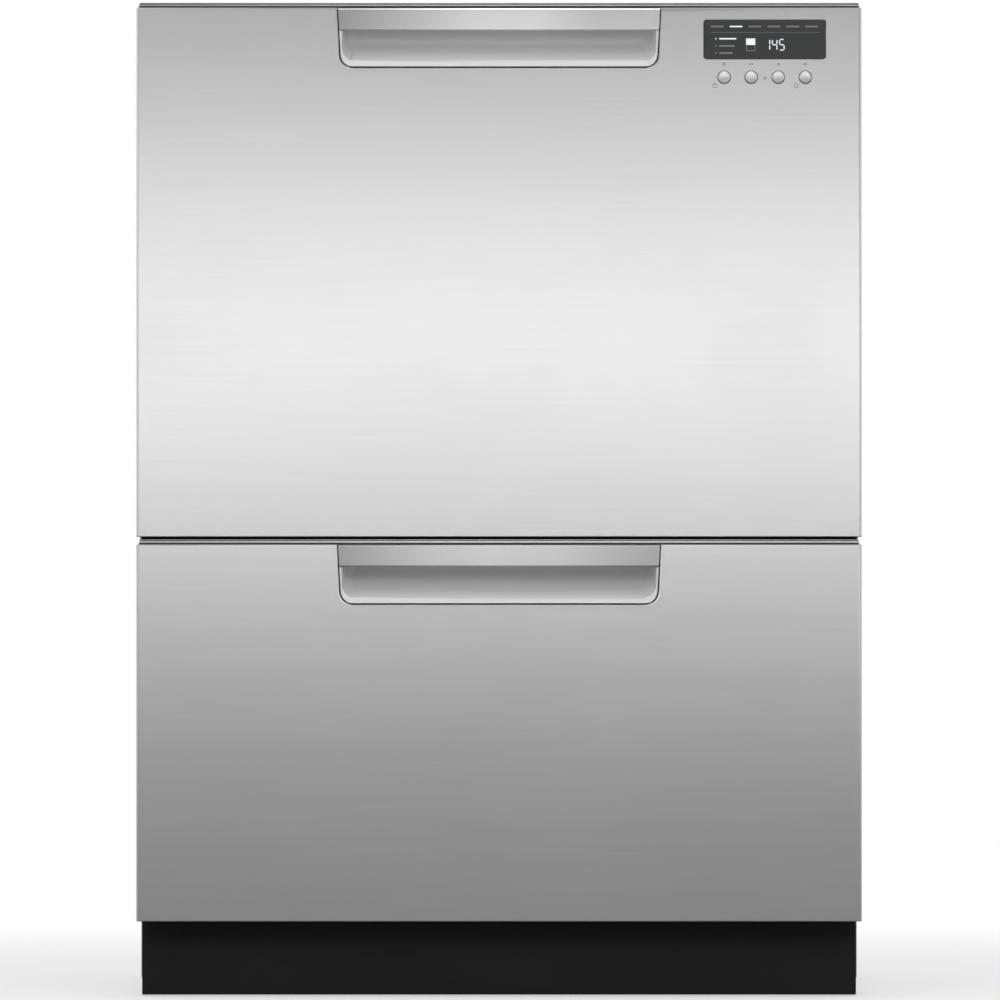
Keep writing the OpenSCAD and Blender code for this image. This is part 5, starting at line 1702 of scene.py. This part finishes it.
def rinse_cap(x, face, z):
    """The cap for rinse aid, with notches round it, and the grip across it."""
    outline = [(0, 1.2 * mm), (cap_r - 5 * mm, 1.2 * mm), (cap_r - 4 * mm, 0), (cap_r - 0.8 * mm, 0),
               (cap_r, -0.8 * mm), (cap_r, -6 * mm), (0, -6 * mm)]
    cap = turned("cap", outline, (x, face + cap_h, z), axis=Y, steps=72)
    grip = block("grip", (x - cap_r + 3 * mm, face + 2 * mm, z - 2.5 * mm),
                 (x + cap_r - 3 * mm, face + cap_h - 0.2 * mm, z + 2.5 * mm))
    soften(grip, 0.8 * mm)
    notches = []
    for i in range(cap_ribs):
        turn = math.tau * i / cap_ribs
        at_x, at_z = x + cap_r * math.cos(turn), z + cap_r * math.sin(turn)
        notches.append(bar("cutter", (at_x, face + mm, at_z), (at_x, face + 2 * cap_h, at_z), 1.1 * mm, 12))
    carve(cap, *notches)
    smooth(cap)
    return cap, grip


def dispenser(drawer):
    low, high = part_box(f"{drawer}_dispenser")
    face, middle_z = low.y + plate_t, (low.z + high.z) / 2
    body = block(f"{drawer}_dispenser_body", low, (high.x, face, high.z))
    round_edges(body, along(Y), 9 * mm, 6)
    round_edges(body, at(Y, face), 2 * mm, 3)
    well_x, plate_half = low.x + (high.x - low.x) / 4, well_w / 2 + door_lap
    axis = Vector((well_x, high.y - eye / 2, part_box(f"{drawer}_detergent_door")[0].z + rod_r))
    well_z = axis.z + door_lap
    ears = []
    for x in (well_x - plate_half - ear_gap - ear_t, well_x + plate_half + ear_gap):
        ear = block("ear", (x, face - mm, axis.z - eye / 2), (x + ear_t, high.y, axis.z + eye / 2))
        round_edges(ear, both(along(X), at(Y, high.y)), 4 * mm, 5)
        ears.append(ear)
    weld(body, *ears)
    well = block("cutter", (well_x - well_w / 2, face - well_d, well_z),
                 (well_x + well_w / 2, face + mm, well_z + well_h))
    round_edges(well, along(Y), 6 * mm, 5)
    round_edges(well, at(Y, face - well_d), 3 * mm, 3)
    length = Vector((0.1, 0, 0))
    rod = bar("cutter", axis - length, axis + length, rod_r + rod_play, 24)
    dish = bar("cutter", (-well_x, face - dish_d, middle_z), (-well_x, face + mm, middle_z),
               cap_r + dish_gap, 48)
    for cutter in (well, rod, dish):
        carve(body, cutter)
    soften(body, 0.4 * mm)
    parts = [body, *rinse_cap(-well_x, face, middle_z)]
    fit(join(body.name, parts), f"{drawer}_drawer", "dispenser_plastic", f"{drawer}_dispenser")


for drawer in DRAWERS:
    dispenser(drawer)

# %% [markdown]
# The door is a rounded plate on the rod. Its middle is sunk a little, which leaves a raised frame.

# %% Detergent doors
door_gap, door_t = 0.3 * mm, 2.5 * mm


def detergent_door(drawer):
    low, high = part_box(f"{drawer}_detergent_door")
    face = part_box(f"{drawer}_dispenser")[0].y + plate_t + door_gap
    middle = (low.x + high.x) / 2
    plate_half = well_w / 2 + door_lap
    axis_z, axis_y = low.z + rod_r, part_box(f"{drawer}_dispenser")[1].y - eye / 2
    door = block(f"{drawer}_door", (middle - plate_half, face, axis_z),
                 (middle + plate_half, face + door_t, high.z))
    round_edges(door, both(along(Y), at(Z, high.z)), 7 * mm, 5)
    pick(door, facing(Y, 1))
    bpy.ops.mesh.inset(thickness=5 * mm, depth=0)
    bpy.ops.mesh.inset(thickness=0.8 * mm, depth=-0.8 * mm)
    close()
    rod = bar("rod", (low.x, axis_y, axis_z), (high.x, axis_y, axis_z), rod_r, 24)
    web = block("web", (middle - plate_half, face, axis_z - rod_r / 2),
                (middle + plate_half, axis_y, axis_z + rod_r / 2))
    weld(door, web, rod)
    soften(door, 0.35 * mm)
    fit(door, f"{drawer}_dispenser_flap", "door_plastic", f"{drawer}_detergent_door")


for drawer in DRAWERS:
    detergent_door(drawer)

# %% [markdown]
# ## Runners, lids, liners and pan
#
# The construction has the right shape for these, but its edges are perfectly sharp, and nothing
# real is. A copy's loose triangles are merged into whole faces, and a fine bevel then catches the
# light along each edge, as a folded or a moulded edge does.

# %% Broken edges
BROKEN_EDGES = {
    "fixed_runners": 0.25, "runner_mid": 0.25, "runner_inner": 0.25, "base_pan": 0.4, "mid_rail": 0.4,
    "lid": 0.8, "front_liner": 0.8, "filter_plate": 0.2, "lid_actuators": 0.4, "wash_pump": 0.6,
}
field_margin, field_slope, field_depth, big_face = 30 * mm, 3 * mm, 0.8 * mm, 0.03


def whole_copy(node):
    piece = bpy.data.objects.new(f"{node}_piece", frame["nodes"][node].data.copy())
    bpy.context.scene.collection.objects.link(piece)
    pick(piece, lambda face: True)
    bpy.ops.mesh.remove_doubles(threshold=doubled)
    bpy.ops.mesh.dissolve_limited(angle_limit=math.radians(1))
    close()
    return piece


def sink_field(piece):
    """A shallow field on the back of a liner, which stiffens a moulded plate."""
    pick(piece, both(facing(Y, 1), lambda face: face.calc_area() > big_face))
    bpy.ops.mesh.inset(thickness=field_margin, depth=0)
    bpy.ops.mesh.inset(thickness=field_slope, depth=-field_depth)
    close()


for node, slot in PLAIN.items():
    kind = node.replace("upper_", "").replace("lower_", "")
    if kind in BROKEN_EDGES:
        piece = whole_copy(node)
        if kind == "front_liner":
            sink_field(piece)
        soften(piece, BROKEN_EDGES[kind] * mm)
        bodies = frame["record"]["behaviour"]["bodies"]
        body = next(name for name, nodes in bodies.items() if node in nodes)
        fit(piece, body, slot, node)

# %% [markdown]
# Screws through the liner's edge hold it to the folded edges of the front.

# %% Liner screws
liner_screw_x, liner_end = 0.284, 30 * mm
for drawer in DRAWERS:
    low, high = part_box(f"{drawer}_front_liner")
    runner_z = centre_of(f"{drawer}_runner_inner").z
    heights = (low.z + liner_end, (low.z + runner_z) / 2, runner_z - liner_end, runner_z + liner_end)
    places = [(side * liner_screw_x, high.y, z) for side in (-1, 1) for z in heights]
    screws(f"{drawer}_liner_screws", f"{drawer}_drawer", places, radius=3 * mm, height=1.4 * mm)

# %% [markdown]
# ## Light
#
# Bare steel shows what it faces. A long, low softbox in front gives the fronts their bright band and
# lets them fall off above and below it, and big soft lamps at the top and the sides light the rest.
# The lamps are never seen themselves.

# %% Lamps
def softbox(name, place, aim, width, height, watts, metal=True, paint=True):
    deselect()
    bpy.ops.object.light_add(type="AREA", location=place)
    lamp = bpy.context.object
    lamp.name = name
    lamp.rotation_euler = (Vector(aim) - Vector(place)).to_track_quat("-Z", "Y").to_euler()
    lamp.data.shape = "RECTANGLE"
    lamp.data.size = width
    lamp.data.size_y = height
    lamp.data.energy = watts
    lamp.visible_camera = False
    lamp.visible_glossy, lamp.visible_diffuse = metal, paint


low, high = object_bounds()
band_z = 0.56
softbox("front_band", (0, low.y - 1.25, band_z), (0, low.y, band_z), 2.6, 0.30, 5.5, paint=False)
softbox("edge_light", (0, low.y - 0.95, high.z + 1.1), (0, low.y, high.z - 0.2), 2.4, 0.2, 2.4,
        paint=False)
softbox("key_light", (0, low.y - 1.6, 1.15), (0, low.y, 0.5), 2.6, 0.7, 15, metal=False)
softbox("top_box", (0, -0.4, high.z + 1.6), (0, 0, 0.5), 2.2, 2.2, 13)
for side in (-1, 1):
    softbox(f"side_box_{side}", (2.3 * side, -0.3, 1.0), (0, 0, 0.4), 1.4, 1.6, 7)
softbox("back_box", (0, high.y + 2.2, 1.2), (0, 0, 0.4), 2.0, 1.4, 9)

# %% [markdown]
# The room is white to the camera. What the metal sees of it depends on the side: dim in front, where
# a dark studio stands behind the camera, and pale at the sides, above and behind. The world's
# Generated coordinates are the direction.

# %% The room
world = bpy.data.worlds.new("room")
bpy.context.scene.world = world
world.use_nodes = True
room = Nodes(world.node_tree)
way = room.node("ShaderNodeSeparateXYZ", {}, {0: room.node("ShaderNodeTexCoord", output="Generated")})
side_way = Wave(room, way.socket.node.outputs[X])
back_way = Wave(room, way.socket.node.outputs[Y])
up_way = Wave(room, way.socket.node.outputs[Z])
sides = room.ramp(side_way, 0.6, 1.0) + room.ramp(0 - side_way, 0.6, 1.0)
pale = sides * 0.25 + room.ramp(back_way, -0.2, 0.5) * 0.6
seen_by_metal = (0.23 + pale + room.ramp(up_way, 0.1, 0.7) * 0.4).clamp(0, 1.7)
ray = room.node("ShaderNodeLightPath").socket.node.outputs
glossy, camera_ray = Wave(room, ray["Is Glossy Ray"]), Wave(room, ray["Is Camera Ray"])
through = Wave(room, ray["Is Transmission Ray"])
ambient = 0.38
level = glossy * seen_by_metal + (1 - glossy) * ambient
white = (camera_ray + through).clamp(0, 1)
background = world.node_tree.nodes["Background"]
room.fill(background.inputs["Color"], room.mix(white, (1, 1, 1, 1), (1, 1, 1, 1)))
room.fill(background.inputs["Strength"], white + (1 - white) * level)

# %% [markdown]
# ## Floor
#
# The floor is pale and keeps the object's shadow. It turns into the white of the room away from the
# object, so that no edge shows, and it is a quieter grey to the metal, as a floor in shade is.

# %% Floor
deselect()
bpy.ops.mesh.primitive_circle_add(vertices=96, radius=3.2, fill_type="NGON", location=(0, 0, low.z))
floor = settle("floor")
paint = Paint("floor", (0.86, 0.86, 0.86), 0.7)
here = paint.node("ShaderNodeVectorMath", {"operation": "LENGTH"}, {0: paint.place()}, output=1)
rays = paint.node("ShaderNodeLightPath").socket.node.outputs
edge = paint.ramp(here * 0.5, 0.35, 0.85)
paint.shades(paint.noise(30), 0.98, 1.0)
glow = paint.node("ShaderNodeEmission", {}, {"Color": (1, 1, 1, 1), "Strength": 1.0})
shade = paint.node("ShaderNodeEmission", {}, {"Color": (0.22, 0.22, 0.22, 1), "Strength": 1.0})
to_camera = Wave(paint, rays["Is Camera Ray"]) * (0.5 + 0.5 * edge)
surface = Wave(paint, paint.shader.outputs[0])
seen = paint.node("ShaderNodeMixShader", {}, {0: to_camera, 1: surface, 2: glow})
seen = paint.node("ShaderNodeMixShader", {}, {0: Wave(paint, rays["Is Glossy Ray"]), 1: seen, 2: shade})
paint.fill(paint.tree.nodes["Material Output"].inputs["Surface"], seen)
floor.data.materials.append(paint.material)

# %% [markdown]
# ## Last look
#
# Colours are shown as they are, with no film look.

# %% Colour view
bpy.context.scene.view_settings.view_transform = "Standard"
